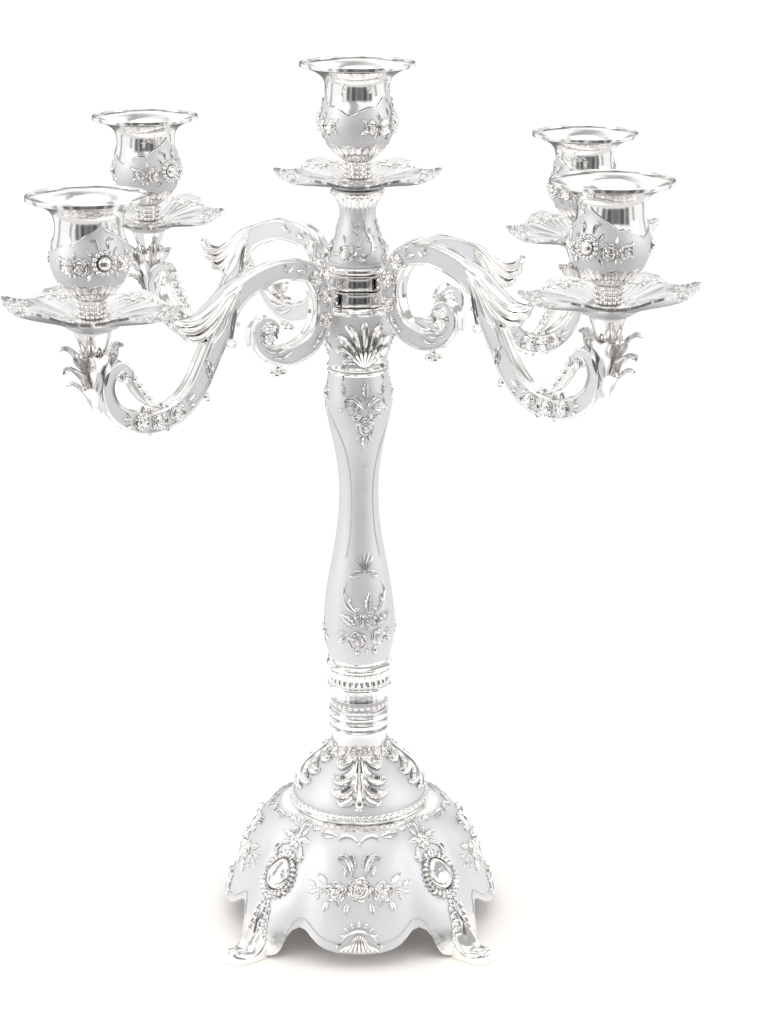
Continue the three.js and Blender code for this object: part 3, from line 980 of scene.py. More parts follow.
    def brow(self) -> bpy.types.Mesh:
        """Cuts the double scroll under the ring at the middle of a lobe."""
        work = Work("brow")
        for line in (
            ((0.4, -1.6, 0.4, 0.7), (2.6, 0.7, 0.7, 1.1), (5.6, 1.5, 0.8, 1.2), (8.2, 0.2, 0.6, 1.0),
             (8.0, -1.2, 0.3, 0.6)),
            ((9.6, 1.0, 0.3, 0.5), (13.0, 2.0, 0.7, 0.9), (17.0, 1.6, 0.6, 0.8), (20.0, 2.4, 0.3, 0.5)),
            ((11.0, 0.4, 0.3, 0.4), (14.5, -0.4, 0.6, 0.8), (17.5, 0.2, 0.3, 0.5)),
        ):
            work.chase_both(line)
        work.press(self.dies.bud, Ground(), 0, -1.0, 180, 3.0)
        return work.as_die()

    def corner_spray(self) -> bpy.types.Mesh:
        """Gathers the flower, leaves and berries above a cartouche."""
        return spray_die("corner_spray", self.dies, (
            ("flower", 0, 0, 20, 3.6), ("leaf", 2.0, -0.6, -115, 5.4, True),
            ("leaf", 2.2, 1.4, -72, 6.4, True), ("leaf", 1.4, 2.4, -34, 5.6, True),
            ("leaf", 0, 2.0, 0, 5.0), ("curled_leaf", 4.2, -1.2, -128, 6.0, True),
            ("bead", 0, 7.2, 0, 1.3), ("bead", 2.2, 7.9, 0, 1.15, True),
            ("bead", 4.2, 8.3, 0, 0.9, True), ("bead", 1.1, 9.4, 0, 0.95, True),
            ("leaf", 5.4, 8.2, -80, 5.0, True),
        ))

    def acanthus(self) -> bpy.types.Mesh:
        """Cuts the large leaf on the dome, with its roses."""
        work = Work("acanthus")
        for line in (
            ((3.2, 9.6, 0.6, 0.8), (5.4, 6.8, 2.0, 1.6), (8.6, 5.4, 2.3, 1.7), (11.4, 6.6, 1.2, 1.2),
             (12.2, 8.4, 0.5, 0.7)),
            ((0.9, 7.4, 0.5, 0.9), (2.4, 3.4, 1.8, 1.8), (4.8, 0.2, 2.6, 2.1), (8.0, -0.8, 2.3, 1.8),
             (10.4, 0.8, 0.7, 0.9)),
            ((0.8, 2.6, 0.5, 1.0), (1.9, -1.8, 1.6, 1.9), (4.0, -5.2, 2.5, 2.1), (7.0, -6.4, 2.2, 1.8),
             (9.2, -4.9, 0.7, 0.9)),
            ((0.5, -2.6, 0.4, 1.0), (1.3, -6.4, 1.2, 1.9), (2.8, -9.2, 1.8, 1.8), (5.0, -10.6, 1.6, 1.5),
             (6.6, -9.6, 0.6, 0.8)),
        ):
            work.chase_both(line, crease=0.7)
        work.chase([(0, 12, 0.4, 0.8), (0, 5, 0.7, 1.7), (0, -3, 0.8, 2.2), (0, -8.6, 1.5, 2.0),
                    (0, -11.4, 1.4, 1.5), (0, -12.6, 0.6, 0.9)], crease=1.2)
        work.press(self.dies.bead, Ground(), 0, -12.6, size=1.5)
        press_spray(work, self.dies, (
            ("rose", 4.6, 10.0, 0, 3.9, True), ("leaf", 7.6, 12.0, -80, 4.2, True),
            ("small_rose", 11.2, 10.0, 30, 2.6, True), ("leaf", 13.2, 9.0, -104, 4.8, True),
            ("leaf", 1.4, 12.4, -20, 2.6, True),
        ))
        return work.as_die()

    def rope(self, work: Work) -> None:
        """Lays the twisted rope ring and the fillets under it."""
        work.turn(
            [(26.8, 50.9), (29.8, 50.7), (30.7, 51.3), (30.5, 52.1), (29.9, 52.4), (30.4, 52.9),
             (30.2, 53.5), (28.4, 54.6), (26.8, 54.9), (26.8, 50.9)], 160,
        )
        angles = [FULL_TURN * step / 8 for step in range(9)]
        circle = [(29.0 + 1.35 * math.cos(angle), 54.9 + 1.35 * math.sin(angle)) for angle in angles]
        for point in work.turn(circle, 320):
            azimuth = math.atan2(point.co.y, point.co.x)
            out = Vector((math.hypot(point.co.x, point.co.y) - 29.0, point.co.z - 54.9))
            round_it = math.atan2(out.y, out.x)
            swell = 0.62 + 0.48 * abs(math.cos((64 * azimuth + round_it) / 2)) ** 0.8
            point.co = polar(azimuth, 29.0 + out.x * swell, 54.9 + out.y * swell)

    def edge_cord(self, work: Work) -> None:
        """Lays the raised line that follows the skirt's lower edge."""
        for lobe in range(4):
            middle = lobe * math.pi / 2
            ground = RoundGround(self.reach, middle, 12.0)
            radius = self.reach(middle, 12.0)
            slope = math.hypot(1, (self.reach(middle, 12.5) - radius) / 0.5)
            for side in (-1, 1):
                line = []
                for degrees in (10, 14, 18, 21, 24, 27, 30, 32.5):
                    height = self.edge_height(middle + math.radians(degrees)) + 3.4
                    line.append((side * math.radians(degrees) * radius, (height - 12) * slope, 0.4, 0.6))
                work.chase(line, ground, steps=5, shine=0.3)

    def build(self) -> bpy.types.Object:
        """Builds the whole casting.

        Returns:
            The piece that stands for the base casting.
        """
        work = Work("base")
        self.skirt(work)
        self.rope(work)
        outline = [(radius, height) for height, radius in self.dome_line]
        for point in work.turn([(0, self.dome_foot), *outline, (0, self.dome_top)], 96, 0.0):
            point[work.shine] = eased((point.co.z - 76) / 2)
        garland, shell, brow = self.garland(), self.shell(), self.brow()
        acanthus, corner_spray, leg_leaf = self.acanthus(), self.corner_spray(), self.leg_leaf()
        for quarter in range(4):
            lobe = quarter * math.pi / 2
            corner = lobe + math.pi / 4
            work.press(garland, RoundGround(self.reach, lobe, 31.5))
            work.press(shell, RoundGround(self.reach, lobe, 12.6))
            work.press(brow, RoundGround(self.reach, lobe, 49.4))
            work.press(acanthus, RoundGround(self.dome_reach, lobe, 69.0), size=1.14)
            work.press(corner_spray, RoundGround(self.reach, corner, 43.6))
            work.press(self.dies.medallion, RoundGround(self.reach, corner, 31.4), size=12.2, depth=0.8)
            work.press(leg_leaf, RoundGround(self.reach, corner, 13.5))
            self.toe(work, corner)
        self.edge_cord(work)
        piece = cast(work.as_die(), "base")
        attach(piece, "stand")
        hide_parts("base_casting")
        return piece


# ---------------------------------------------------------------- column


@dataclass
class Shaft:
    """The turned stack between base and stem: neck collar, fluted collar, column and capital."""

    dies: Dies
    facing: float = -math.pi / 2 + math.radians(12)
    column_radius: float = 15.2
    capital_radius: float = 14.1
    column_shares: Line = (
        (0, 0.83), (0.06, 0.95), (0.13, 1), (0.25, 0.91), (0.45, 0.62), (0.585, 0.545), (0.7, 0.62),
        (0.85, 0.87), (0.905, 0.91), (1, 0.8),
    )
    capital_shares: Line = ((0, 0.84), (0.2, 0.87), (0.45, 0.99), (0.65, 1), (0.87, 0.92), (1, 0.84))

    def __post_init__(self) -> None:
        """Reads the heights off the frame and smooths both outlines."""
        foot, top = foot_of("column"), top_of("column")
        self.column_line = [
            (foot + up * (top - foot), out * self.column_radius) for up, out in flow(self.column_shares, 7)
        ]
        self.capital_foot = foot_of("capital")
        self.capital_top = foot_of("arm_ring_lower") - 0.3
        self.capital_line = [
            (self.capital_foot + up * (self.capital_top - self.capital_foot), out * self.capital_radius)
            for up, out in flow(self.capital_shares, 6)
        ]

    def column_reach(self, azimuth: float, height: float) -> float:
        """Gives the column's radius."""
        return between(self.column_line, height)

    def capital_reach(self, azimuth: float, height: float) -> float:
        """Gives the capital's radius."""
        return between(self.capital_line, height)

    def neck(self) -> bpy.types.Object:
        """Turns the neck collar, with its ridges and its row of beads."""
        work = Work("neck")
        foot, top = foot_of("neck_collar"), top_of("neck_collar")
        outline = flow((
            (11.7, foot), (11.7, foot + 6.6), (12.1, foot + 7.0), (12.9, foot + 7.6), (12.2, foot + 8.4),
            (12.9, foot + 9.4), (13.0, foot + 11.4), (12.3, foot + 12.4), (13.0, foot + 13.4),
            (13.0, foot + 14.8), (12.2, foot + 15.8), (12.6, foot + 16.8), (11.9, foot + 17.6),
            (11.8, foot + 20.6), (12.5, foot + 21.4), (12.4, foot + 22.2), (12.3, top),
        ), 3)
        for point in work.turn([(0, foot), *outline, (0, top)], 96):
            smooth = eased((point.co.z - foot - 17.0) / 0.6) * eased((foot + 21.2 - point.co.z) / 0.6)
            point[work.shine] = (0.5 + 0.4 * eased((point.co.z - foot - 6.2) / 0.8)) * (1 - 0.75 * smooth)
        for bead in range(30):
            work.ball(polar(FULL_TURN * bead / 30, 12.1, foot + 19.1), 1.05)
        return self.finished(work, "neck", "neck_collar", "bright_silver")

    def collar(self) -> bpy.types.Object:
        """Turns the fluted collar."""
        work = Work("collar")
        foot, top = foot_of("fluted_collar"), top_of("fluted_collar")
        outline = flow((
            (12.8, foot), (13.4, foot + 0.4), (14.0, foot + 1.2), (14.0, foot + 2.4), (13.5, foot + 3.0),
            (13.5, foot + 3.8), (13.9, foot + 4.6), (13.9, foot + 9.0), (13.4, foot + 9.6),
            (13.9, foot + 10.2), (14.0, foot + 11.4), (13.2, foot + 12.4), (12.6, top),
        ), 3)
        flutes = 34
        for point in work.turn([(0, foot), *outline, (0, top)], flutes * 8):
            radius = math.hypot(point.co.x, point.co.y)
            azimuth = math.atan2(point.co.y, point.co.x)
            if foot + 3.9 < point.co.z < foot + 9.2 and radius > 1:
                middle = 1 - abs((point.co.z - foot - 6.6) / 2.9) ** 4
                cut = 1.1 * max(0, middle) * (0.5 + 0.5 * math.cos(flutes * azimuth)) ** 0.6
                point.co = polar(azimuth, radius - cut, point.co.z)
            elif foot + 0.6 < point.co.z < foot + 2.9 and radius > 1:
                point.co = polar(azimuth, radius - 0.35 * abs(math.cos(flutes * azimuth / 4)), point.co.z)
        return self.finished(work, "collar", "fluted_collar", "bright_silver")

    def panel_lines(self, work: Work, facing: float) -> None:
        """Lays the two raised lines that bound a panel of the column."""
        run = ((80, 231.0), (72, 227.5), (60, 222.5), (48, 216.0), (40, 208.0), (35, 198.0), (33.5, 186.0),
               (36, 175.0), (41, 166.0))
        for side in (-1, 1):
            loop = []
            for degrees, height in flow(run, 6):
                azimuth = facing + side * math.radians(degrees)
                reach = self.column_reach(azimuth, height)
                spread = 0.42 / reach
                loop.append([
                    polar(azimuth - spread, reach - 0.2, height),
                    polar(azimuth - 0.5 * spread, reach + 0.22, height),
                    polar(azimuth, reach + 0.34, height),
                    polar(azimuth + 0.5 * spread, reach + 0.22, height),
                    polar(azimuth + spread, reach - 0.2, height), polar(azimuth, reach - 0.5, height),
                ])
            work.draw(loop, 0.12)

    def upper_spray(self) -> bpy.types.Mesh:
        """Gathers the hanging spray at the column's top."""
        return spray_die("upper_spray", self.dies, (
            ("leaf", 0.4, 5.2, 0, 8.4), ("curled_leaf", 0.8, 1.6, -26, 8.0, True),
            ("rose", -5.0, 3.6, 0, 3.7), ("rose", 6.0, 4.0, 40, 3.7),
            ("rose", 0.3, -6.4, 20, 4.3), ("leaf", 1.6, 0.6, -160, 5.0, True),
            ("leaf", 2.4, 1.8, -100, 5.2, True), ("leaf", 3.4, -3.2, -64, 4.6, True),
            ("leaf", 0.2, -9.4, 180, 8.0),
            ("leaf", 1.8, -9.6, -150, 4.4, True), ("leaf", 8.8, 7.0, -20, 5.4, True),
            ("bud", 10.2, 12.6, -6, 2.6, True), ("leaf", 9.2, 1.6, -128, 3.6, True),
        ))

    def lower_spray(self) -> bpy.types.Mesh:
        """Gathers the rising spray at the column's foot."""
        return spray_die("lower_spray", self.dies, (
            ("rose", 0.8, 3.2, 0, 4.0), ("rose", -4.0, -5.6, 30, 4.0), ("rose", 5.4, -4.4, 0, 3.6),
            ("leaf", 0.8, 6.4, -4, 8.6), ("leaf", 4.6, 0.4, -52, 9.0, True),
            ("leaf", 3.6, 3.4, -34, 4.6, True), ("bud", 3.8, -8.6, -176, 4.6, True),
            ("bud", 9.4, -4.4, -140, 4.4, True), ("leaf", 8.6, -2.4, -96, 4.4, True),
            ("leaf", 0.4, -9.0, 180, 3.6),
        ))

    def small_palmette(self) -> bpy.types.Mesh:
        """Cuts the small palmette and the wreath under it."""
        work = Work("small_palmette")
        for frond in range(-2, 3):
            lean = 0.46 * frond
            work.chase([(0.3 * frond, -3.4, 0.3, 0.5),
                        (2.6 * math.sin(lean), 0.2 - 0.5 * abs(frond), 0.85, 0.9),
                        (5.2 * math.sin(lean), 4.6 * math.cos(lean) - 0.4, 0.2, 0.3)], steps=3)
        work.chase_both([(0.6, -4.4, 0.3, 0.4), (2.8, -4.0, 0.8, 0.8), (5.0, -5.2, 0.3, 0.4)], steps=3)
        work.chase_both([(2.0, -5.8, 0.3, 0.3), (4.4, -6.6, 0.7, 0.7), (6.0, -6.0, 0.3, 0.3)], steps=3)
        work.chase_both([(6.8, -9.0, 0.25, 0.3), (7.9, -13.0, 0.5, 0.6), (6.4, -18.4, 1.4, 1.0),
                         (3.6, -21.8, 0.5, 0.6), (1.8, -22.8, 0.25, 0.3)])
        for side in (-1, 1):
            work.press(self.dies.leaf, Ground(), 6.9 * side, -19.6, 14 * side, 5.4)
            work.press(self.dies.leaf, Ground(), 4.6 * side, -21.4, 52 * side, 3.6)
        return work.as_die()

    def column(self) -> bpy.types.Object:
        """Turns the column and presses its sprays on the front and the back."""
        work = Work("shaft")
        outline = [(radius, height) for height, radius in self.column_line]
        work.turn([(0, outline[0][1]), *outline, (0, outline[-1][1])], 120, 0.0)
        upper, lower, palmette = self.upper_spray(), self.lower_spray(), self.small_palmette()
        for facing in (self.facing, self.facing + math.pi):
            self.panel_lines(work, facing)
            work.press(upper, RoundGround(self.column_reach, facing, 230.0), satin=0.62)
            work.press(lower, RoundGround(self.column_reach, facing, 136.6), satin=0.62)
            work.press(palmette, RoundGround(self.column_reach, facing, 164.6), satin=0.62)
            for mark, height in enumerate((204.0, 195.4, 186.6, 177.0)):
                place = RoundGround(self.column_reach, facing, height)
                work.press(self.dies.curled_leaf, place, turn=-70 * mark, size=2.2, depth=0.5, satin=0.1)
            side = facing + math.pi / 2
            work.press(self.small_rose_drop(), RoundGround(self.column_reach, side, 236.0))
            work.press(self.small_rose_drop(), RoundGround(self.column_reach, side, 132.0))
        for foot in (outline[0][1] + 1.0, outline[-1][1] - 1.0):
            reach = self.column_reach(0, foot)
            work.turn([(reach - 1, foot - 0.7), (reach + 0.2, foot - 0.6), (reach + 0.5, foot),
                       (reach + 0.2, foot + 0.6), (reach - 1, foot + 0.7), (reach - 1, foot - 0.7)], 96)
        return self.finished(work, "shaft", "column", "satin_silver")

    def small_rose_drop(self) -> bpy.types.Mesh:
        """Gathers the little drop on the column's sides."""
        return spray_die("rose_drop", self.dies, (
            ("small_rose", 0, 0, 0, 2.8), ("leaf", 0, 2.4, 0, 4.2), ("leaf", 0, -2.4, 180, 4.2),
            ("leaf", 2.2, 1.0, -60, 3.4, True), ("leaf", 2.2, -1.0, -120, 3.4, True),
        ))

    def palmette(self) -> bpy.types.Mesh:
        """Cuts the large bright palmette of the capital."""
        work = Work("palmette")
        for frond in (-4, 4, -3, 3, -2, 2, -1, 1, 0):
            lean = 0.37 * frond
            reach = 17.0 - 0.52 * frond * frond
            bend = 1.4 * math.copysign(1, frond) if frond else 0
            work.chase(
                [(0.30 * frond, -8.2, 0.5, 0.5),
                 (0.42 * reach * math.sin(lean), -8.2 + 0.46 * reach * math.cos(lean), 1.35, 1.2),
                 (0.74 * reach * math.sin(lean), -8.2 + 0.80 * reach * math.cos(lean), 2.1, 1.5),
                 (0.92 * reach * math.sin(lean) + bend, -8.2 + 0.98 * reach * math.cos(lean), 1.75, 1.2),
                 (reach * math.sin(lean) + 1.3 * bend, -8.2 + 1.05 * reach * math.cos(lean), 0.6, 0.5)],
                crease=0.6,
            )
        for rib in range(-3, 4):
            lean = 0.34 * rib
            work.chase([(0.5 * rib, -9.4, 0.5, 1.2),
                        (5.6 * math.sin(lean), -8.6 + 6.2 * math.cos(lean), 1.1, 2.0),
                        (7.6 * math.sin(lean), -8.6 + 8.8 * math.cos(lean), 0.4, 0.9)], steps=3)
        for side in (-1, 1):
            work.press(self.dies.curled_leaf, Ground(), 4.6 * side, -8.6, -70 * side, 6.4, mirror=side < 0)
        work.press(self.dies.bead, Ground(), 0, -9.4, size=1.3)
        return work.as_die()

    def capital(self) -> bpy.types.Object:
        """Turns the capital and its spigot, and presses the palmettes."""
        work = Work("crown")
        outline = [(radius, height) for height, radius in self.capital_line]
        spigot = top_of("capital")
        points = work.turn([(0, outline[0][1]), *outline, (8.5, self.capital_top), (8.5, spigot),
                            (0, spigot)], 112, 0.0)
        for point in points:
            near_top = eased((point.co.z - self.capital_top + 3.2) / 0.5)
            near_foot = eased((self.capital_foot + 2.4 - point.co.z) / 0.5)
            point[work.shine] = max(near_top, near_foot)
        for height, reach in ((self.capital_foot + 1.2, 12.3), (self.capital_top - 1.6, 12.6)):
            work.turn([(reach - 1, height - 1.0), (reach, height - 0.9), (reach + 0.6, height),
                       (reach, height + 0.9), (reach - 1, height + 1.0), (reach - 1, height - 1.0)], 96)
        palmette = self.palmette()
        for quarter in range(2):
            facing = self.facing + quarter * math.pi
            work.press(palmette, RoundGround(self.capital_reach, facing, self.capital_foot + 12.4))
            side = RoundGround(self.capital_reach, facing + math.pi / 2, self.capital_foot + 13.0)
            work.press(self.small_rose_drop(), side, size=1.3)
        return self.finished(work, "crown", "capital", "satin_silver")

    @staticmethod
    def finished(work: Work, name: str, node: str, slot: str) -> bpy.types.Object:
        """Casts one piece of the shaft, hangs it on the stand and hides the node it stands for."""
        piece = cast(work.as_die(), name)
        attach(piece, "stand")
        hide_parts(node)
        return piece

    def build(self) -> list[bpy.types.Object]:
        """Builds the four pieces from the base upwards."""
        return [self.neck(), self.collar(), self.column(), self.capital()]


@dataclass
class Stem:
    """The vase-shaped stem above the rings, under the centre cup."""

    dies: Dies
    shares: Line = (
        (0, 11.6), (0.4, 12.1), (1.0, 12.4), (2.2, 12.3), (2.9, 11.7), (3.3, 12.0), (4.2, 12.0), (4.8, 11.7),
        (9.0, 11.2), (14.0, 9.6), (18.6, 8.1), (23.0, 7.3), (26.0, 7.6), (28.8, 8.8), (30.6, 10.0),
        (31.6, 10.9), (32.6, 11.0), (33.3, 10.4),
    )

    def __post_init__(self) -> None:
        """Stands the outline on the frame."""
        self.foot = foot_of("upper_stem")
        self.line = [(self.foot + up, out) for up, out in flow(self.shares, 4)]

    def reach(self, azimuth: float, height: float) -> float:
        """Gives the stem's radius, with flutes round its flared top."""
        plain = between(self.line, height)
        share = eased((height - self.foot - 24.5) / 2.5) * eased((self.foot + 32.6 - height) / 1.2)
        return plain - 0.42 * share * (0.5 + 0.5 * math.cos(26 * azimuth))

    def build(self) -> bpy.types.Object:
        """Turns the stem and presses its roses."""
        work = Work("stem")
        outline = [(radius, height) for height, radius in self.line]
        points = work.turn([(0, outline[0][1]), *outline, (0, outline[-1][1])], 208, 0.0)
        for point in points:
            azimuth = math.atan2(point.co.y, point.co.x)
            if math.hypot(point.co.x, point.co.y) > 1:
                point.co = polar(azimuth, self.reach(azimuth, point.co.z), point.co.z)
            up = point.co.z - self.foot
            point[work.shine] = max(eased((3.0 - up) / 0.4), eased((up - 26.0) / 1.2))
        rose = spray_die("stem_rose", self.dies, (
            ("rose", 0, -2.6, 0, 3.7), ("leaf", 3.0, -4.2, -120, 5.4), ("leaf", 2.6, -1.6, -76, 4.2),
            ("leaf", -3.2, -3.0, 110, 4.0), ("leaf", 3.6, -0.4, -30, 4.4), ("leaf", -1.6, 1.2, 24, 3.6),
            ("small_rose", 3.0, 6.4, 30, 2.0), ("leaf", 4.0, 7.6, -20, 3.0), ("leaf", 1.4, 8.2, 30, 2.6),
        ))
        twig = Work("stem_twig")
        twig.chase([(-2.6, -5.6, 0.3, 0.5), (0.6, -3.0, 0.35, 0.6), (1.0, 1.0, 0.35, 0.6),
                    (-0.6, 5.0, 0.35, 0.6), (-1.4, 9.4, 0.3, 0.5)])
        for across, along, turn, size in ((0.9, 0.6, 40, 3.6), (0.6, -3.2, -60, 3.4), (-0.6, 5.0, 46, 3.2),
                                          (-0.2, 4.0, -40, 3.4), (-1.4, 9.0, 10, 2.6),
                                          (-1.4, -4.6, 70, 3.0)):
            twig.press(self.dies.leaf, Ground(), across, along, turn, size)
        twig.press(self.dies.small_rose, Ground(), 1.2, 2.4, size=1.9)
        branch = twig.as_die()
        for turn in (-112, 68):
            ground = RoundGround(self.reach, math.radians(turn), self.foot + 11.6)
            work.press(rose, ground, satin=0.75)
            ground = RoundGround(self.reach, math.radians(turn + 50), self.foot + 12.4)
            work.press(branch, ground, satin=0.75)
            ground = RoundGround(self.reach, math.radians(turn + 115), self.foot + 11.6)
            work.press(rose, ground, mirror=True, satin=0.75)
        piece = cast(work.as_die(), "stem")
        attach(piece, "stand")
        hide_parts("upper_stem")
        return piece


@dataclass
class ArmRing:
    """A plain bright ring that carries one pair of arms."""

    tier: str
    bore: float = 8.95
    radius: float = 12.2

    def build(self) -> bpy.types.Object:
        """Turns the ring, with a lip at each edge."""
        work = Work("ring_" + self.tier)
        foot, top = foot_of("arm_ring_" + self.tier), top_of("arm_ring_" + self.tier)
        wall = self.radius
        outline = [
            (self.bore, foot), (wall - 0.5, foot), (wall, foot + 0.25), (wall + 0.05, foot + 0.75),
            (wall - 0.35, foot + 1.1), (wall - 0.5, foot + 1.35), (wall - 0.5, top - 1.35),
            (wall - 0.35, top - 1.1),
            (wall + 0.05, top - 0.75), (wall, top - 0.25), (wall - 0.5, top), (self.bore, top),
            (self.bore, foot),
        ]
        work.turn(outline, 120)
        piece = cast(work.as_die(), "ring_" + self.tier)
        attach(piece, self.tier + "_tier")
        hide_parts("arm_ring_" + self.tier)
        return piece


# ---------------------------------------------------------------- arms


@dataclass
class ScrollArm:
    """One flat-sided scroll arm, drawn along +X with its ring's middle at the origin."""

    dies: Dies
    reach: float = 126.2
    rise: float = 4.4
    half_thick: float = 3.3
    recess: float = 0.55
    centreline: Line = (
        (42.5, -9.6, 0.7), (42.6, -6.2, 0.95), (45.4, -3.7, 1.25), (49.4, -3.8, 1.7), (52.2, -7.4, 2.3),
        (51.4, -12.2, 3.0), (47.4, -16.3, 3.5), (41.8, -18.6, 3.9), (35.2, -19.2, 4.2), (25.2, -15.6, 4.2),
        (20.0, -7.0, 4.2), (19.8, 3.0, 4.2), (25.2, 12.2, 4.3), (36.2, 15.2, 4.3), (46.2, 14.6, 4.3),
        (56.7, 11.0, 4.3), (64.2, 5.0, 4.4), (69.2, -3.8, 4.4), (75.2, -14.6, 4.4), (82.2, -26.1, 4.4),
        (91.2, -33.2, 4.4), (102.2, -35.6, 4.3), (112.2, -33.4, 4.0), (119.7, -27.6, 3.4),
        (122.4, -19.6, 3.0),
        (119.9, -13.2, 2.6), (115.2, -11.4, 2.0), (111.9, -14.2, 1.4), (111.9, -17.4, 0.9),
    )

    def section(self, half: float) -> tuple[list[tuple[float, float]], list[float]]:
        """Gives the band's section: flat frosted sides between bright rims, and hollowed edges.

        Args:
            half: Half the band's width there.

        Returns:
            The section's points, across the band and through it, and the polish of each.
        """
        thick = self.half_thick * min(1.0, (half / 2.6)) ** 0.35
        rim = min(1.15, 0.34 * half)
        flat = half - rim - 0.2
        sunk = thick - self.recess * min(1.0, half / 3)
        quarter = [(flat, sunk, 0.0), (half - rim, thick - 0.12, 1.0), (half - 0.45 * rim, thick, 1.0),
                   (half - 0.1, thick - 0.4, 1.0), (half, thick - 1.0 * min(1, half / 3), 1.0),
                   (half - 0.42 * min(1, half / 3), 0.45 * thick, 1.0)]
        top = [*quarter, (half - 0.55 * min(1, half / 3), 0.0, 1.0),
               *[(across, -through, shine) for across, through, shine in reversed(quarter)]]
        ring = [(0.0, sunk, 0.0), *top, (0.0, -sunk, 0.0),
                *[(-across, through, shine) for across, through, shine in reversed(top)]]
        return [(across, through) for across, through, _ in ring], [shine for _, _, shine in ring]

    def band(self, work: Work) -> None:
        """Draws the band from the middle of the volute to the curl in the bowl."""
        sections = []
        for _, run, (along, up, half) in walk(self.centreline, 5):
            outline, shines = self.section(half)
            sections.append(
                [Vector((along - run.y * across, through, up + run.x * across)) for across,
                 through in outline]
            )
        work.draw(sections, shines)

    def plume(self, work: Work, line: Line) -> None:
        """Draws one leaflet that goes right through the arm.

        Args:
            work: The arm.
            line: Along, up, half width and half thickness of each point it runs through.
        """
        sections = []
        for _, run, (along, up, half, thick) in walk(line, 4):
            half = max(half, 0.08)
            loop = []
            for step in range(16):
                angle = FULL_TURN * step / 16
                across = half * math.cos(angle)
                through = max(thick, 0.2) * math.copysign(abs(math.sin(angle)) ** 0.7, math.sin(angle))
                through *= 1 - 0.22 * math.exp(-((across / (0.35 * half)) ** 2))
                loop.append(Vector((along - run.y * across, through, up + run.x * across)))
            sections.append(loop)
        # Painted shade: the leaflet's two edges are darkened.
        work.draw(sections, 1.0, [0.5 if step in (0, 8) else 0.0 for step in range(16)])

    def shoulder(self, work: Work) -> None:
        """Draws the leaf that lies over the shoulder."""
        for line in (
            ((56.5, 15.2, 0.5, 3.0), (64.5, 11.4, 1.5, 3.9), (72, 5.6, 1.8, 4.0), (80, 1.2, 1.8, 3.5),
             (86.6, 0.8, 1.5, 2.9), (90.4, 3.0, 1.0, 2.1), (90.0, 5.2, 0.4, 1.2)),
            ((58.5, 13.8, 0.5, 3.2), (66, 8.9, 1.5, 4.2), (73, 2.0, 1.8, 4.3), (80.5, -2.4, 1.7, 3.8),
             (87, -1.9, 1.3, 2.9), (89.4, 0.2, 0.5, 1.5)),
            ((59.5, 12.6, 0.5, 3.3), (66.4, 6.6, 1.4, 4.3), (72.2, -1.0, 1.7, 4.4), (78.4, -5.6, 1.6, 3.8),
             (83.8, -5.6, 1.2, 2.9), (85.8, -3.4, 0.4, 1.4)),
            ((60.2, 11.4, 0.5, 3.4), (65.6, 4.2, 1.3, 4.3), (69.4, -3.4, 1.5, 4.3), (74.4, -8.0, 1.2, 3.5),
             (78.8, -7.8, 0.5, 1.7)),
            ((60.4, 10.2, 0.5, 3.3), (63.2, 3.6, 1.4, 4.1), (64.8, -3.4, 1.6, 4.1), (65.4, -8.6, 1.4, 3.4),
             (63.4, -11.6, 0.9, 2.3), (61.4, -10.0, 0.4, 1.2)),
        ):
            self.plume(work, line)
        work.ball(Vector((62.2, 0, -2.8)), 1.7, fine=3)
        work.ball(Vector((60.4, 0, -3.6)), 1.2)

    def bowl_leaf(self, work: Work) -> None:
        """Draws the slim notched leaf inside the bowl."""
        self.plume(work, ((97.5, -31.0, 0.3, 0.8), (104.0, -27.4, 1.3, 2.0), (109.0, -21.6, 1.6, 2.2),
                          (112.3, -15.6, 1.3, 2.0), (113.6, -12.2, 0.6, 1.2)))
        for along, up, size in ((102.6, -26.2, 1.1), (105.0, -23.8, 1.4), (107.2, -20.6, 1.5),
                                (109.2, -17.4, 1.4), (110.6, -14.4, 1.2)):
            for through in (-1.1, 1.1):
                work.ball(Vector((along, through, up)), size)

    def drops(self, work: Work) -> None:
        """Sets the berries that hang under the volute and under the shoulder."""
        for along, up, size in ((41.0, -23.8, 1.5), (38.6, -26.4, 1.7), (41.6, -26.8, 1.6),
                                (44.0, -25.4, 1.3),
                                (78.2, -27.4, 1.5), (76.6, -29.8, 1.9), (75.2, -31.6, 1.1)):
            work.ball(Vector((along, 0, up)), size, fine=3)

    def volute(self, work: Work) -> None:
        """Turns the boss at the middle of the volute and sets a rosette on each side of it."""
        boss = work.turn([(0, -2.7), (3.7, -2.7), (4.3, -2.1), (4.3, 2.1), (3.7, 2.7), (0, 2.7)], 40)
        bmesh.ops.transform(
            work.shape, verts=boss,
            matrix=Matrix.Translation((46.8, 0, -9.0)) @ Matrix.Rotation(math.pi / 2, 4, "X"),
        )
        curl = work.turn([(0, -2.0), (2.0, -2.0), (2.6, -1.5), (2.6, 1.5), (2.0, 2.0), (0, 2.0)], 28)
        bmesh.ops.transform(
            work.shape, verts=curl,
            matrix=Matrix.Translation((113.6, 0, -15.6)) @ Matrix.Rotation(math.pi / 2, 4, "X"),
        )
        for side in (-1, 1):
            work.press(self.dies.rose, SideGround(side, 2.6), 46.8, -9.0, size=4.2, depth=0.8)
            work.press(self.dies.rose, SideGround(side, 1.9), 113.6, -15.6, size=2.5, depth=0.8)

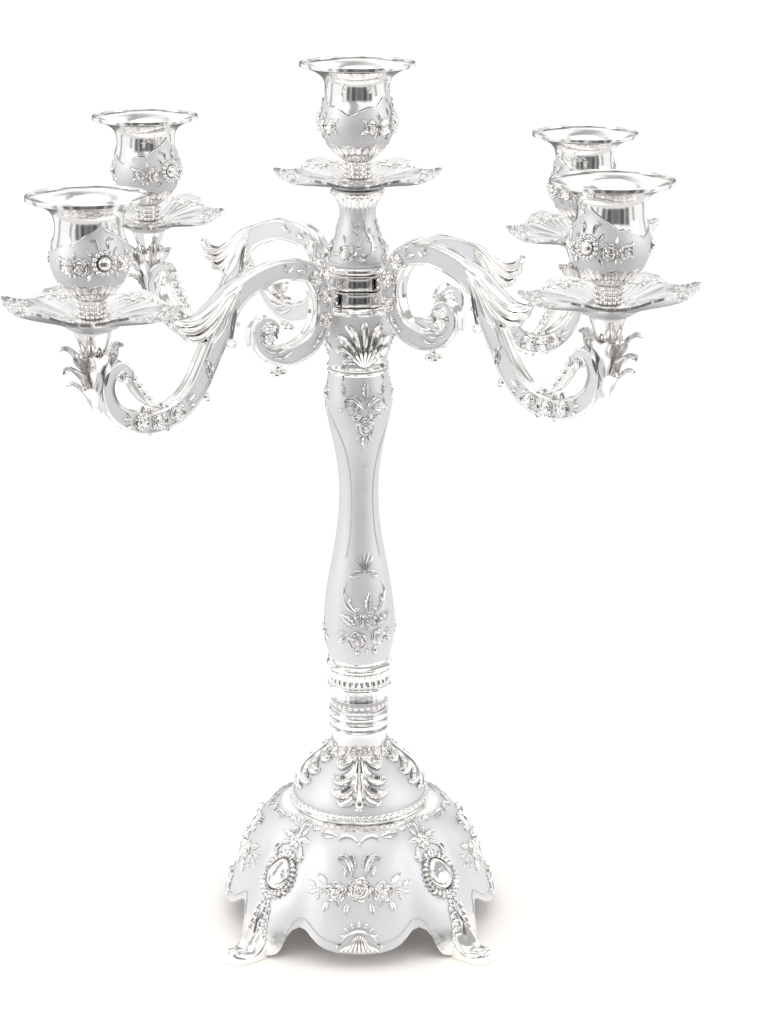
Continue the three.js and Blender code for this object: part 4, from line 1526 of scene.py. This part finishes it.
    def side_reliefs(self, work: Work) -> None:
        """Presses the roses, leaves and marks on both sides of the band."""
        roses = ((23.6, 10.6, 3.3), (19.6, 3.2, 3.5), (19.2, -7.2, 3.3), (91.4, -33.2, 3.6),
                 (99.8, -35.4, 3.7), (108.0, -34.2, 3.4))
        leaves = (
            (28.0, 13.4, -74, 5.4), (26.4, 15.0, -50, 3.6), (21.6, 7.4, 150, 3.0), (17.4, 6.8, 40, 3.0),
            (22.6, 6.2, -140, 2.8), (18.2, -2.2, 20, 3.0), (21.8, -2.6, -130, 3.0), (20.8, -11.6, -150, 4.6),
            (18.6, -11.2, -170, 3.4), (37.0, 15.2, -60, 3.8), (38.0, 14.6, 60, 3.4), (38.4, 15.8, -10, 2.6),
            (24.6, -16.0, 60, 3.2), (26.6, -17.4, 84, 3.4), (76.0, -15.6, 160, 4.6), (76.8, -17.8, 170, 4.2),
            (75.4, -19.6, 190, 4.0), (77.8, -14.4, 150, 3.4), (87.0, -29.6, 60, 4.4), (86.0, -31.4, 90, 3.6),
            (95.6, -37.4, 190, 2.8), (95.8, -32.6, 0, 3.0), (104.2, -37.6, 180, 2.8), (104.0, -32.6, 0, 3.0),
            (112.0, -33.0, -70, 4.4), (112.0, -35.0, -96, 3.8), (112.4, -31.2, -40, 3.6),
        )
        marks = (
            ((36.0, -17.6, 0.3, 0.4), (40.4, -19.6, 0.8, 0.9), (45.2, -19.0, 0.3, 0.4)),
            ((38.4, -15.8, 0.3, 0.4), (43.2, -17.2, 0.8, 0.9), (48.4, -15.6, 0.3, 0.4)),
            ((41.2, -14.4, 0.3, 0.4), (46.0, -14.9, 0.8, 0.9), (50.8, -11.8, 0.3, 0.4)),
            ((70.6, -6.0, 0.3, 0.3), (74.6, -9.6, 0.6, 0.6), (77.0, -14.0, 0.3, 0.3)),
        )
        for side in (-1, 1):
            ground = SideGround(side, self.half_thick - self.recess - 0.05)
            for along, up, size in roses:
                work.press(self.dies.rose, ground, along, up, 40 * along, size, depth=1.1)
            for along, up, turn, size in leaves:
                work.press(self.dies.leaf, ground, along, up, turn, size, depth=1.4)
            for line in marks:
                work.chase(line, ground, steps=3)

    def leaf_cup(self, work: Work) -> None:
        """Draws the tulip of leaves under the drip pan."""
        core = work.turn(
            [(0, -29.6), *flow(((0.8, -28.8), (1.6, -25), (2.2, -20), (3.0, -15), (4.2, -10), (5.6, -5.5),
                                (6.6, -2.4)), 3),
             (7.0, -1.3), (7.2, -0.6), (6.8, 0), (0, 0)], 40,
        )
        bmesh.ops.translate(work.shape, verts=core, vec=(self.reach, 0, self.rise))
        tall = ((1.8, -27, 1.4), (2.9, -21, 3.6), (4.4, -15.4, 5.2), (6.4, -11.2, 5.6), (9.0, -8.2, 4.6),
                (11.4, -7.4, 3.0), (12.6, -8.8, 1.0))
        middle = ((1.4, -29, 1.2), (2.6, -25, 2.8), (4.8, -19.4, 4.2), (7.8, -15.6, 4.4), (10.6, -13.8, 3.4),
                  (12.6, -14.2, 2.2), (12.8, -15.6, 0.7))
        low = ((1.0, -31, 1.0), (2.4, -28, 2.2), (4.2, -24.4, 3.2), (6.8, -21.6, 3.2), (9.0, -20.8, 2.2),
               (10.0, -22.0, 0.7))
        flat = ((1.6, -27, 1.2), (2.8, -21, 3.2), (4.4, -15.6, 4.4), (6.0, -11, 3.6), (7.4, -8.2, 1.0))
        for turn, line in ((36, tall), (-36, tall), (180, tall), (0, middle), (30, low), (-30, low),
                           (90, flat), (-90, flat), (140, flat), (-140, flat)):
            self.bent_leaf(work, line, math.radians(turn), 3)

    def bent_leaf(self, work: Work, line: Line, azimuth: float, teeth: int) -> None:
        """Draws a notched leaf that stands up from the tulip's stalk and turns over at its tip.

        Args:
            work: The arm.
            line: Radius, height and half width of each point it runs through.
            azimuth: Which way it faces.
            teeth: How many notches each edge has.
        """
        out = Vector((math.cos(azimuth), math.sin(azimuth), 0))
        side = Vector((-out.y, out.x, 0))
        middle = Vector((self.reach, 0, self.rise))
        sections = []
        for share, run, (radius, height, half) in walk(line, 4):
            face = side.cross(out * run.x + Vector((0, 0, run.y)))
            notch = 0.74 + 0.34 * abs(math.sin(math.pi * teeth * share))
            half = max(0.1, half * notch)
            place = middle + out * radius + Vector((0, 0, height))
            loop = ((-1, 0.1), (-0.6, 0.6), (-0.3, 0.35), (0, 0.95), (0.3, 0.35), (0.6, 0.6), (1, 0.1),
                    (0.55, -0.45), (0, -0.5), (-0.55, -0.45))
            sections.append([place + side * half * across - face * up for across, up in loop])
        # Painted shade: the leaf's edges and the grooves beside its midrib are darkened.
        work.draw(sections, 0.8, (0.35, 0, 0.3, 0, 0.3, 0, 0.35, 0, 0, 0))

    def pattern(self) -> bpy.types.Mesh:
        """Builds the arm once, as a pattern for all four."""
        work = Work("arm_pattern")
        self.band(work)
        lug = work.turn([(0, 12.35), (3.0, 12.35), (3.2, 12.9), (3.0, 18), (0, 18)], 32)
        bmesh.ops.transform(work.shape, verts=lug, matrix=Matrix.Rotation(math.pi / 2, 4, "Y"))
        self.volute(work)
        self.side_reliefs(work)
        self.shoulder(work)
        self.bowl_leaf(work)
        self.drops(work)
        self.leaf_cup(work)
        return work.as_die()


# ---------------------------------------------------------------- drip pan and candle cup


@dataclass
class DripPan:
    """A thin dish of six broad petals, with its foot at the origin."""

    dies: Dies
    radius: float = 31.8
    boss: float = 9.0
    foot_radius: float = 14.0
    petals: int = 6
    spokes: int = 216
    dish: Table = (
        (8.05, 0), (8.15, 2.0), (8.6, 2.4), (11, 2.5), (14, 2.6), (17.5, 2.9), (21.5, 3.4), (25.4, 4.0),
        (28.6, 4.7), (31.8, 5.5), (35, 6.5),
    )
    belly: Table = (
        (9, 0), (10.5, 1.0), (13, 1.9), (17.5, 2.6), (21.5, 3.1), (25.4, 3.7), (28.6, 4.5), (31.8, 5.4),
        (35, 6.5),
    )

    def wave(self, azimuth: float, radius: float) -> float:
        """Gives how far the petals rise above the valleys between them."""
        share = max(0.0, (radius - self.boss) / (self.radius - self.boss))
        return 0.9 * share**2 * math.cos(self.petals * azimuth)

    def under(self, azimuth: float, radius: float) -> float:
        """Gives the height of the dish's underside."""
        return between(self.belly, radius) + self.wave(azimuth, radius)

    def over(self, azimuth: float, radius: float) -> float:
        """Gives the height of the dish's upper face, with its ribs and the valleys between petals."""
        share = max(0.0, (radius - self.boss) / (self.radius - self.boss))
        petal = 0.5 + 0.5 * math.cos(self.petals * azimuth)
        ribs = 0.30 * math.cos(9 * self.petals * azimuth) * math.sin(math.pi * min(1, share * 1.15)) * petal
        valley = -0.55 * math.exp(-((petal / 0.06) ** 2)) * math.sin(math.pi * min(1.0, share))
        ring = 0.9 * math.exp(-(((radius - 10.4) / 1.1) ** 2)) * (0.45 + 0.55 * abs(math.cos(9 * azimuth)))
        edge = 0.45 * eased((share - 0.86) / 0.1)
        return between(self.dish, radius) + self.wave(azimuth, radius) + 1.1 - edge + ribs + valley + ring

    def edge(self, azimuth: float) -> float:
        """Gives how far the edge reaches, with its petals and its small scallops."""
        petal = math.cos(self.petals * azimuth)
        return self.radius + 1.6 * petal - 0.7 * abs(math.sin(18 * azimuth)) + 0.4

    def pattern(self) -> bpy.types.Mesh:
        """Builds the dish once, as a pattern for all five."""
        work = Work("pan_pattern")
        rings = 22
        outline = [(2.3, 0.0)]
        outline += [(2.3, float(row)) for row in range(1, 2 * rings + 2)]
        outline += [(2.3, 0.0)]
        for point in work.turn(outline, self.spokes):
            row = round(point.co.z)
            azimuth = math.atan2(point.co.y, point.co.x)
            share = (rings + 0.5 - abs(row - rings - 0.5)) / rings if row else 0.0
            share = min(1.0, share)
            radius = 2.3 + (self.edge(azimuth) - 2.3) * share
            height = self.under(azimuth, radius) if row <= rings else self.over(azimuth, radius)
            if share > 0.93 and row > rings:
                height += 0.3
            point.co = polar(azimuth, radius, height)
            point[work.shine] = 0.8 if row > rings or radius > self.foot_radius else 0.1
            # Painted shade on the upper face: darker in the troughs between the ribs and in the valleys
            # between the petals.
            petal = 0.5 + 0.5 * math.cos(self.petals * azimuth)
            reeds = 0.5 - 0.5 * math.cos(9 * self.petals * azimuth)
            ribs = reeds * petal * math.sin(math.pi * min(1, share))
            if row > rings:
                valley_shade = 0.5 * math.exp(-((petal / 0.04) ** 2)) * (share > 0.3)
                point[work.dark] = min(0.6, 0.28 * ribs + valley_shade)
        spray = spray_die("pan_spray", self.dies, (
            ("small_rose", 0, 0, 0, 2.4), ("leaf", 2.2, 0.8, -60, 4.2, True),
            ("leaf", 2.0, -1.0, -120, 3.8, True), ("leaf", 0, 2.2, 0, 3.4),
            ("small_rose", 6.6, 0.6, 20, 1.7, True), ("curled_leaf", 7.6, 1.4, -40, 3.4, True),
        ))
        for petal in range(self.petals):
            azimuth = FULL_TURN * petal / self.petals
            work.press(spray, DishGround(self.over, azimuth, 26.6), depth=0.7)
            for scallop in (-14, -7, 7, 14):
                way = azimuth + math.radians(scallop)
                work.press(self.dies.bead, DishGround(self.over, way, self.edge(way) - 2.0), size=0.75)
        return work.as_die()


@dataclass
class CandleCup:
    """The flared candle cup, with its foot at the origin and its medallions along +X and -X."""

    dies: Dies
    steps: int = 144
    foot: Table = (
        (7.3, 0), (7.7, 0.4), (7.6, 1.1), (6.4, 1.8), (5.2, 2.3), (4.5, 2.7), (4.6, 9.2),
    )
    body: Line = (
        (9.4, 5.3), (10.4, 6.3), (11.8, 8.0), (13.4, 9.7), (15.2, 11.2), (17.2, 12.5), (19.6, 13.7),
        (23, 14.6),
        (27, 14.6), (31, 13.8), (34.5, 12.9), (37.5, 12.6), (40.0, 12.9), (42.0, 13.6), (43.6, 15.0),
        (45.0, 17.2), (46.2, 20.0), (46.8, 21.6),
    )
    brow_line: Table = (
        (0, 40.2), (3, 39.2), (8, 38.1), (16, 37.0), (28, 35.6), (38, 34.0), (45, 32.4), (48, 32.0),
        (52, 32.5), (62, 32.2), (74, 31.0), (84, 29.6), (90, 28.9),
    )

    def __post_init__(self) -> None:
        """Smooths the bowl's outline."""
        self.body_line = flow(self.body, 4)

    def reach(self, azimuth: float, height: float) -> float:
        """Gives the bowl's radius."""
        return between(self.body_line, height) + 0.25

    def brow(self, azimuth: float) -> float:
        """Gives the height where the frosted belly gives way to the bright neck."""
        off = abs(math.degrees(azimuth)) % 180
        return between(self.brow_line, min(off, 180 - off))

    @staticmethod
    def petal_tops(azimuth: float) -> float:
        """Gives the height where the bright petals give way to the frosted belly."""
        return 15.4 + 1.2 * abs(math.cos(4 * azimuth)) ** 0.7 + 0.45 * abs(math.cos(12 * azimuth)) ** 0.7

    def rows(self) -> list[tuple[str, float]]:
        """Lists the bowl's rows of points by the zone they lie in and their share of it."""
        zones = [("petals", step / 6) for step in range(6)]
        zones += [("belly", share) for share in (0, 0.02, 0.04)]
        zones += [("belly", step / 12) for step in range(1, 12)]
        zones += [("belly", share) for share in (0.955, 0.97, 0.985)]
        zones += [("neck", share) for share in (0.0, 0.012, 0.03)]
        zones += [("neck", step / 18) for step in range(1, 19)]
        return zones

    def bowl_point(self, zone: str, share: float, azimuth: float) -> tuple[Vector, float, float]:
        """Places one point of the bowl.

        Args:
            zone: Petals, belly or neck.
            share: How far up the zone the point is.
            azimuth: Its azimuth.

        Returns:
            The point, its polish and its painted shade.
        """
        low, high = self.petal_tops(azimuth), self.brow(azimuth)
        # Painted shade: darker in the grooves between the petals, and along the lines where the petals meet
        # the belly and the belly meets the neck.
        if zone == "petals":
            height = 9.5 + (low - 9.5) * share
            bulge = 0.62 * math.sin(math.pi * min(1,
                                                  share * 1.05)) * abs(math.cos(12 * azimuth)) ** 0.6 - 0.1
            return polar(azimuth, between(self.body_line, height) + bulge, height), 1.0, 0.6 - 2.4 * bulge
        if zone == "belly":
            height = low + (high - low) * share
            border = share < 0.01 or share > 0.96
            lift = 0.5 if border else 0.25
            line = 0.7 if share > 0.99 or share == 0 else 0.0
            return polar(azimuth, between(self.body_line, height) + lift,
                         height), 1.0 if border else 0.0, line
        height = high + (46.8 - high) * share
        lift = 0.3 if share < 0.005 else 0.0
        return polar(azimuth, between(self.body_line, height) + lift, height), 1.0, 0.7 * (share < 0.02)

    def pattern(self) -> bpy.types.Mesh:
        """Builds the cup once, as a pattern for all five."""
        work = Work("cup_pattern")
        zones = self.rows()
        rim = ((22.0, 46.75), (22.6, 46.8), (22.95, 46.95), (23.0, 47.1), (23.0, 48.2), (22.95, 48.38),
               (22.6, 48.5), (22.2, 48.45), (22.0, 48.2), (21.95, 47.5), (21.6, 47.3), (20.8, 47.2),
               (19.2, 46.8), (17.0, 45.9), (14.8, 44.7), (13.0, 43.4), (11.9, 42.0), (11.3, 40.6),
               (11.1, 39.0), (11.1, 30), (11.1, 24.6))
        marked = [(1.0, 100.0 + row) for row in range(len(zones))]
        points = work.turn([(0, 0), *self.foot, *marked, *rim, (0, 24.6)], self.steps)
        for point in points:
            if point.co.z > 99:
                azimuth = math.atan2(point.co.y, point.co.x)
                zone = zones[round(point.co.z) - 100]
                point.co, point[work.shine], dark = self.bowl_point(*zone, azimuth)
                point[work.dark] = min(0.8, max(0.0, dark))
        for height, radius, size, number in ((3.6, 4.8, 0.85, 18), (5.5, 4.9, 0.85, 18),
                                             (7.5, 5.1, 0.95, 18)):
            for bead in range(number):
                work.ball(polar(FULL_TURN * bead / number, radius, height), size, fine=1)
        garland = self.garland()
        for azimuth in (0.0, math.pi):
            work.press(garland, RoundGround(self.reach, azimuth, 25.4))
        return work.as_die()

    def garland(self) -> bpy.types.Mesh:
        """Gathers a beaded medallion with two roses and their leaves on each side of it."""
        work = Work("cup_garland")
        work.press(self.dies.cabochon, Ground(), 0, 0.2, size=5.0)
        press_spray(work, self.dies, (
            ("rose", 8.6, -1.0, 0, 3.3, True), ("rose", 14.6, -0.6, 40, 3.0, True),
            ("leaf", 4.4, 2.6, -30, 3.8, True), ("leaf", 4.6, -2.8, -150, 4.2, True),
            ("leaf", 5.6, 1.2, -62, 3.0, True), ("leaf", 11.0, 1.6, -8, 3.2, True),
            ("leaf", 11.2, -2.8, -176, 3.0, True), ("leaf", 16.0, 1.0, -62, 3.4, True),
            ("leaf", 16.0, -1.8, -120, 3.4, True), ("curled_leaf", 2.2, 5.2, 6, 4.2, True),
            ("bud", 12.6, -3.2, -160, 2.2, True),
        ))
        return work.as_die()


# ---------------------------------------------------------------- studio


@dataclass
class Studio:
    """The pale floor, the soft light tent and the camera."""

    camera_place: tuple[float, float, float] = (0.00741, -0.88932, 0.47055)
    camera_tilt: float = 72.0855
    camera_turn: float = -0.1792
    lens: float = 78.06
    floor_radius: float = 0.30
    tent_turn: float = 0.14
    cloud_scale: float = 1.9
    cloud_edge: tuple[float, float] = (0.40, 0.56)
    cloud_dark: float = 0.46
    cloud_gain: float = 0.62
    wall_top: tuple[float, float] = (0.16, 0.30)
    table_edge: tuple[float, float] = (-0.62, -0.50)
    table_level: float = 0.8
    seen_level: float = 1.06
    walls: Table = (
        (0.0, 0.16), (0.040, 0.24), (0.046, 0.10), (0.075, 0.12), (0.083, 0.50), (0.094, 0.38),
        (0.102, 0.14),
        (0.125, 0.24), (0.135, 0.90), (0.160, 0.95), (0.168, 0.45), (0.185, 0.50), (0.195, 1.0), (0.30, 1.0),
        (0.31, 0.5), (0.33, 0.45), (0.34, 1.0), (0.42, 1.0), (0.45, 0.30), (0.5, 0.20),
    )

    def camera(self) -> None:
        """Sets up the camera."""
        data = bpy.data.cameras.new("camera")
        data.lens = self.lens
        data.sensor_width = 36.0
        made = bpy.data.objects.new("camera", data)
        made.location = self.camera_place
        made.rotation_euler = (math.radians(self.camera_tilt), 0, math.radians(self.camera_turn))
        bpy.context.scene.collection.objects.link(made)
        bpy.context.scene.camera = made

    def floor(self) -> None:
        """Lays the pale floor, warmer and darker near the middle as a painted shadow under the base."""
        work = Work("floor")
        bmesh.ops.create_circle(work.shape, cap_ends=True, segments=128, radius=self.floor_radius / MM)
        bmesh.ops.translate(work.shape, verts=work.shape.verts, vec=(0, 0, -0.15))
        piece = cast(work.as_die(), "floor")
        made = bpy.data.materials.new("pale_floor")
        made.use_nodes = True
        wires = Wires(made.node_tree)
        place = wires.add("TexCoord", result="Object")
        cloud = wires.add("TexNoise", {"Vector": place, "Scale": 3.0}, "Fac")
        pale = wires.tones(cloud, (0.955, 0.95, 0.945), (0.97, 0.965, 0.965))
        far = wires.add("VectorMath", {0: place}, "Value", operation="LENGTH")
        # Painted shadow: a warm, darker tint within about 13 cm of the middle, where the base's shadow
        # falls.
        painted_shadow_mask = wires.ramp(far, (0.06, 0.13), (1.0, 0.0))
        tone = wires.tones(painted_shadow_mask, pale, (0.95, 0.925, 0.88))
        wires.feed(made.node_tree.nodes["Principled BSDF"], {"Roughness": 0.8, "Base Color": tone})
        piece.data.materials.append(made)

    def tent(self) -> None:
        """Hangs the light tent: bright overhead, with dark gaps low down at the front."""
        world = bpy.data.worlds.new("tent")
        world.use_nodes = True
        bpy.context.scene.world = world
        wires = Wires(world.node_tree)
        way = wires.add("TexCoord", result="Generated")
        split = wires.add("SeparateXYZ", {"Vector": way}).outputs
        turn = wires.sum("ARCTAN2", split["X"], wires.sum("MULTIPLY", split["Y"], -1.0))
        off = wires.sum("MULTIPLY", wires.sum("SUBTRACT", turn, self.tent_turn), 1 / FULL_TURN)
        walls = wires.add("ValToRGB", {"Fac": wires.sum("ABSOLUTE", off)})
        stops = walls.color_ramp.elements
        for index, (place, level) in enumerate(self.walls):
            stop = stops[index] if index < 2 else stops.new(place)
            stop.position = place
            stop.color = (level, level, level, 1)
        cloud = wires.ramp(wires.noise(self.cloud_scale, 1.5, way), self.cloud_edge, kind="SMOOTHSTEP")
        patches = wires.sum("ADD", wires.sum("MULTIPLY", cloud, self.cloud_gain), self.cloud_dark)
        up = wires.ramp(split["Z"], self.wall_top, kind="SMOOTHSTEP")
        level = wires.add("Mix", {"Factor": up, "A": walls.outputs["Color"], "B": patches}, "Result")
        under = wires.ramp(split["Z"], self.table_edge, kind="SMOOTHSTEP")
        below = wires.add("Mix", {"Factor": under, "A": self.table_level, "B": level}, "Result")
        seen = wires.add("LightPath").outputs
        plain = wires.sum("MAXIMUM", seen["Is Camera Ray"], seen["Is Diffuse Ray"])
        shown = wires.add("Mix", {"Factor": plain, "A": below, "B": self.seen_level}, "Result")
        wires.feed(world.node_tree.nodes["Background"], {"Color": shown})

    def lamps(self) -> None:
        """Hangs the soft boxes: one over the table and one to each side."""
        boxes = (
            ("top_box", (0.0, -0.1, 1.5), (0, 0, 0), 1.3, 4.5),
            ("left_box", (-1.3, -0.5, 0.7), (0, -66, 20), 0.6, 4.0),
            ("right_box", (1.3, -0.4, 0.7), (0, 66, -18), 0.6, 3.0),
        )
        for name, place, turned, size, power in boxes:
            data = bpy.data.lights.new(name, "AREA")
            data.shape = "SQUARE"
            data.size = size
            data.energy = power
            lamp = bpy.data.objects.new(name, data)
            lamp.location = place
            lamp.rotation_euler = [math.radians(angle) for angle in turned]
            bpy.context.scene.collection.objects.link(lamp)

    def build(self) -> None:
        """Sets the whole studio up."""
        self.camera()
        self.floor()
        self.tent()
        self.lamps()
        bpy.context.scene.view_settings.view_transform = "Standard"


# ---------------------------------------------------------------- the whole


LIGHTS = (
    Light("centre", "cup_centre", -11.5),
    Light("front_left", "cup_front_left", -62.6),
    Light("rear_right", "cup_rear_right", 20.0),
    Light("front_right", "cup_front_right", -130.8),
    Light("rear_left", "cup_rear_left", -40.0),
)
PAN_LIFT = 2.2
PAN_LEAN = 2.0
FLAT_TO = 10.5
BENT_OVER = 21.5
LIFT_POWER = 0.6
LEAN_POWER = 1.3
TIERS = {"front_left": "lower", "rear_right": "lower", "front_right": "upper", "rear_left": "upper"}


def bent_pan(pan: bpy.types.Mesh, outwards: float) -> bpy.types.Mesh:
    """Bends an arm's drip pan up a little, most on the side away from the column.

    Args:
        pan: The flat pattern.
        outwards: The azimuth that points away from the column.

    Returns:
        A bent copy.
    """
    bent = pan.copy()
    for point in bent.vertices:
        share = max(0.0, (math.hypot(point.co.x, point.co.y) - FLAT_TO) / BENT_OVER)
        facing = math.cos(math.atan2(point.co.y, point.co.x) - outwards)
        point.co.z += PAN_LIFT * share**LIFT_POWER + PAN_LEAN * facing * share**LEAN_POWER
    return bent


def place_lights(dies: Dies) -> list[bpy.types.Object]:
    """Casts the cups, pans and arms from their patterns.

    Args:
        dies: The dies they are chased with.

    Returns:
        The pieces.
    """
    cup, pan, arm = CandleCup(dies).pattern(), DripPan(dies).pattern(), ScrollArm(dies).pattern()
    pieces = []
    for light in LIGHTS:
        tier = TIERS.get(light.name)
        turn = Matrix.Rotation(math.radians(light.relief_turn), 4, "Z")
        made = cast(cup, "cup_" + light.name, Matrix.Translation(light.middle) @ turn)
        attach(made, light.body)
        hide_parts("candle_cup_" + light.name)
        foot = Vector((light.middle.x, light.middle.y, foot_of("drip_pan_" + light.name)))
        flat = bent_pan(pan, light.azimuth) if tier else pan
        dish = cast(flat, "pan_" + light.name, Matrix.Translation(foot))
        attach(dish, tier + "_tier" if tier else "stand")
        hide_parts("drip_pan_" + light.name)
        pieces += [made, dish]
        if tier:
            middle = (foot_of("arm_ring_" + tier) + top_of("arm_ring_" + tier)) / 2
            place = Matrix.Translation((0, 0, middle)) @ Matrix.Rotation(light.azimuth, 4, "Z")
            branch = cast(arm, "branch_" + light.name, place)
            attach(branch, tier + "_tier")
            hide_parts("arm_" + light.name)
            pieces.append(branch)
    return pieces


def dress_fixings(frame: dict, steel: bpy.types.Material) -> None:
    """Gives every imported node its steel."""
    for node in frame["nodes"].values():
        node.data.materials.clear()
        node.data.materials.append(steel)


def main() -> None:
    """Builds the candelabra from the table upwards."""
    logging.basicConfig(level=logging.INFO, format="%(message)s", stream=sys.stdout)
    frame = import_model()
    silver, steel = Silver().material(), Steel().material()
    dies = Dies()
    pieces = [Base(dies).build(), *Shaft(dies).build(), Stem(dies).build()]
    pieces += [ArmRing(tier).build() for tier in ("lower", "upper")]
    pieces += place_lights(dies)
    for piece in pieces:
        piece.data.materials.clear()
        piece.data.materials.append(silver)
        log.info("%s: %d points", piece.name, len(piece.data.vertices))
    dress_fixings(frame, steel)
    Studio().build()


if __name__ == "__main__":
    main()
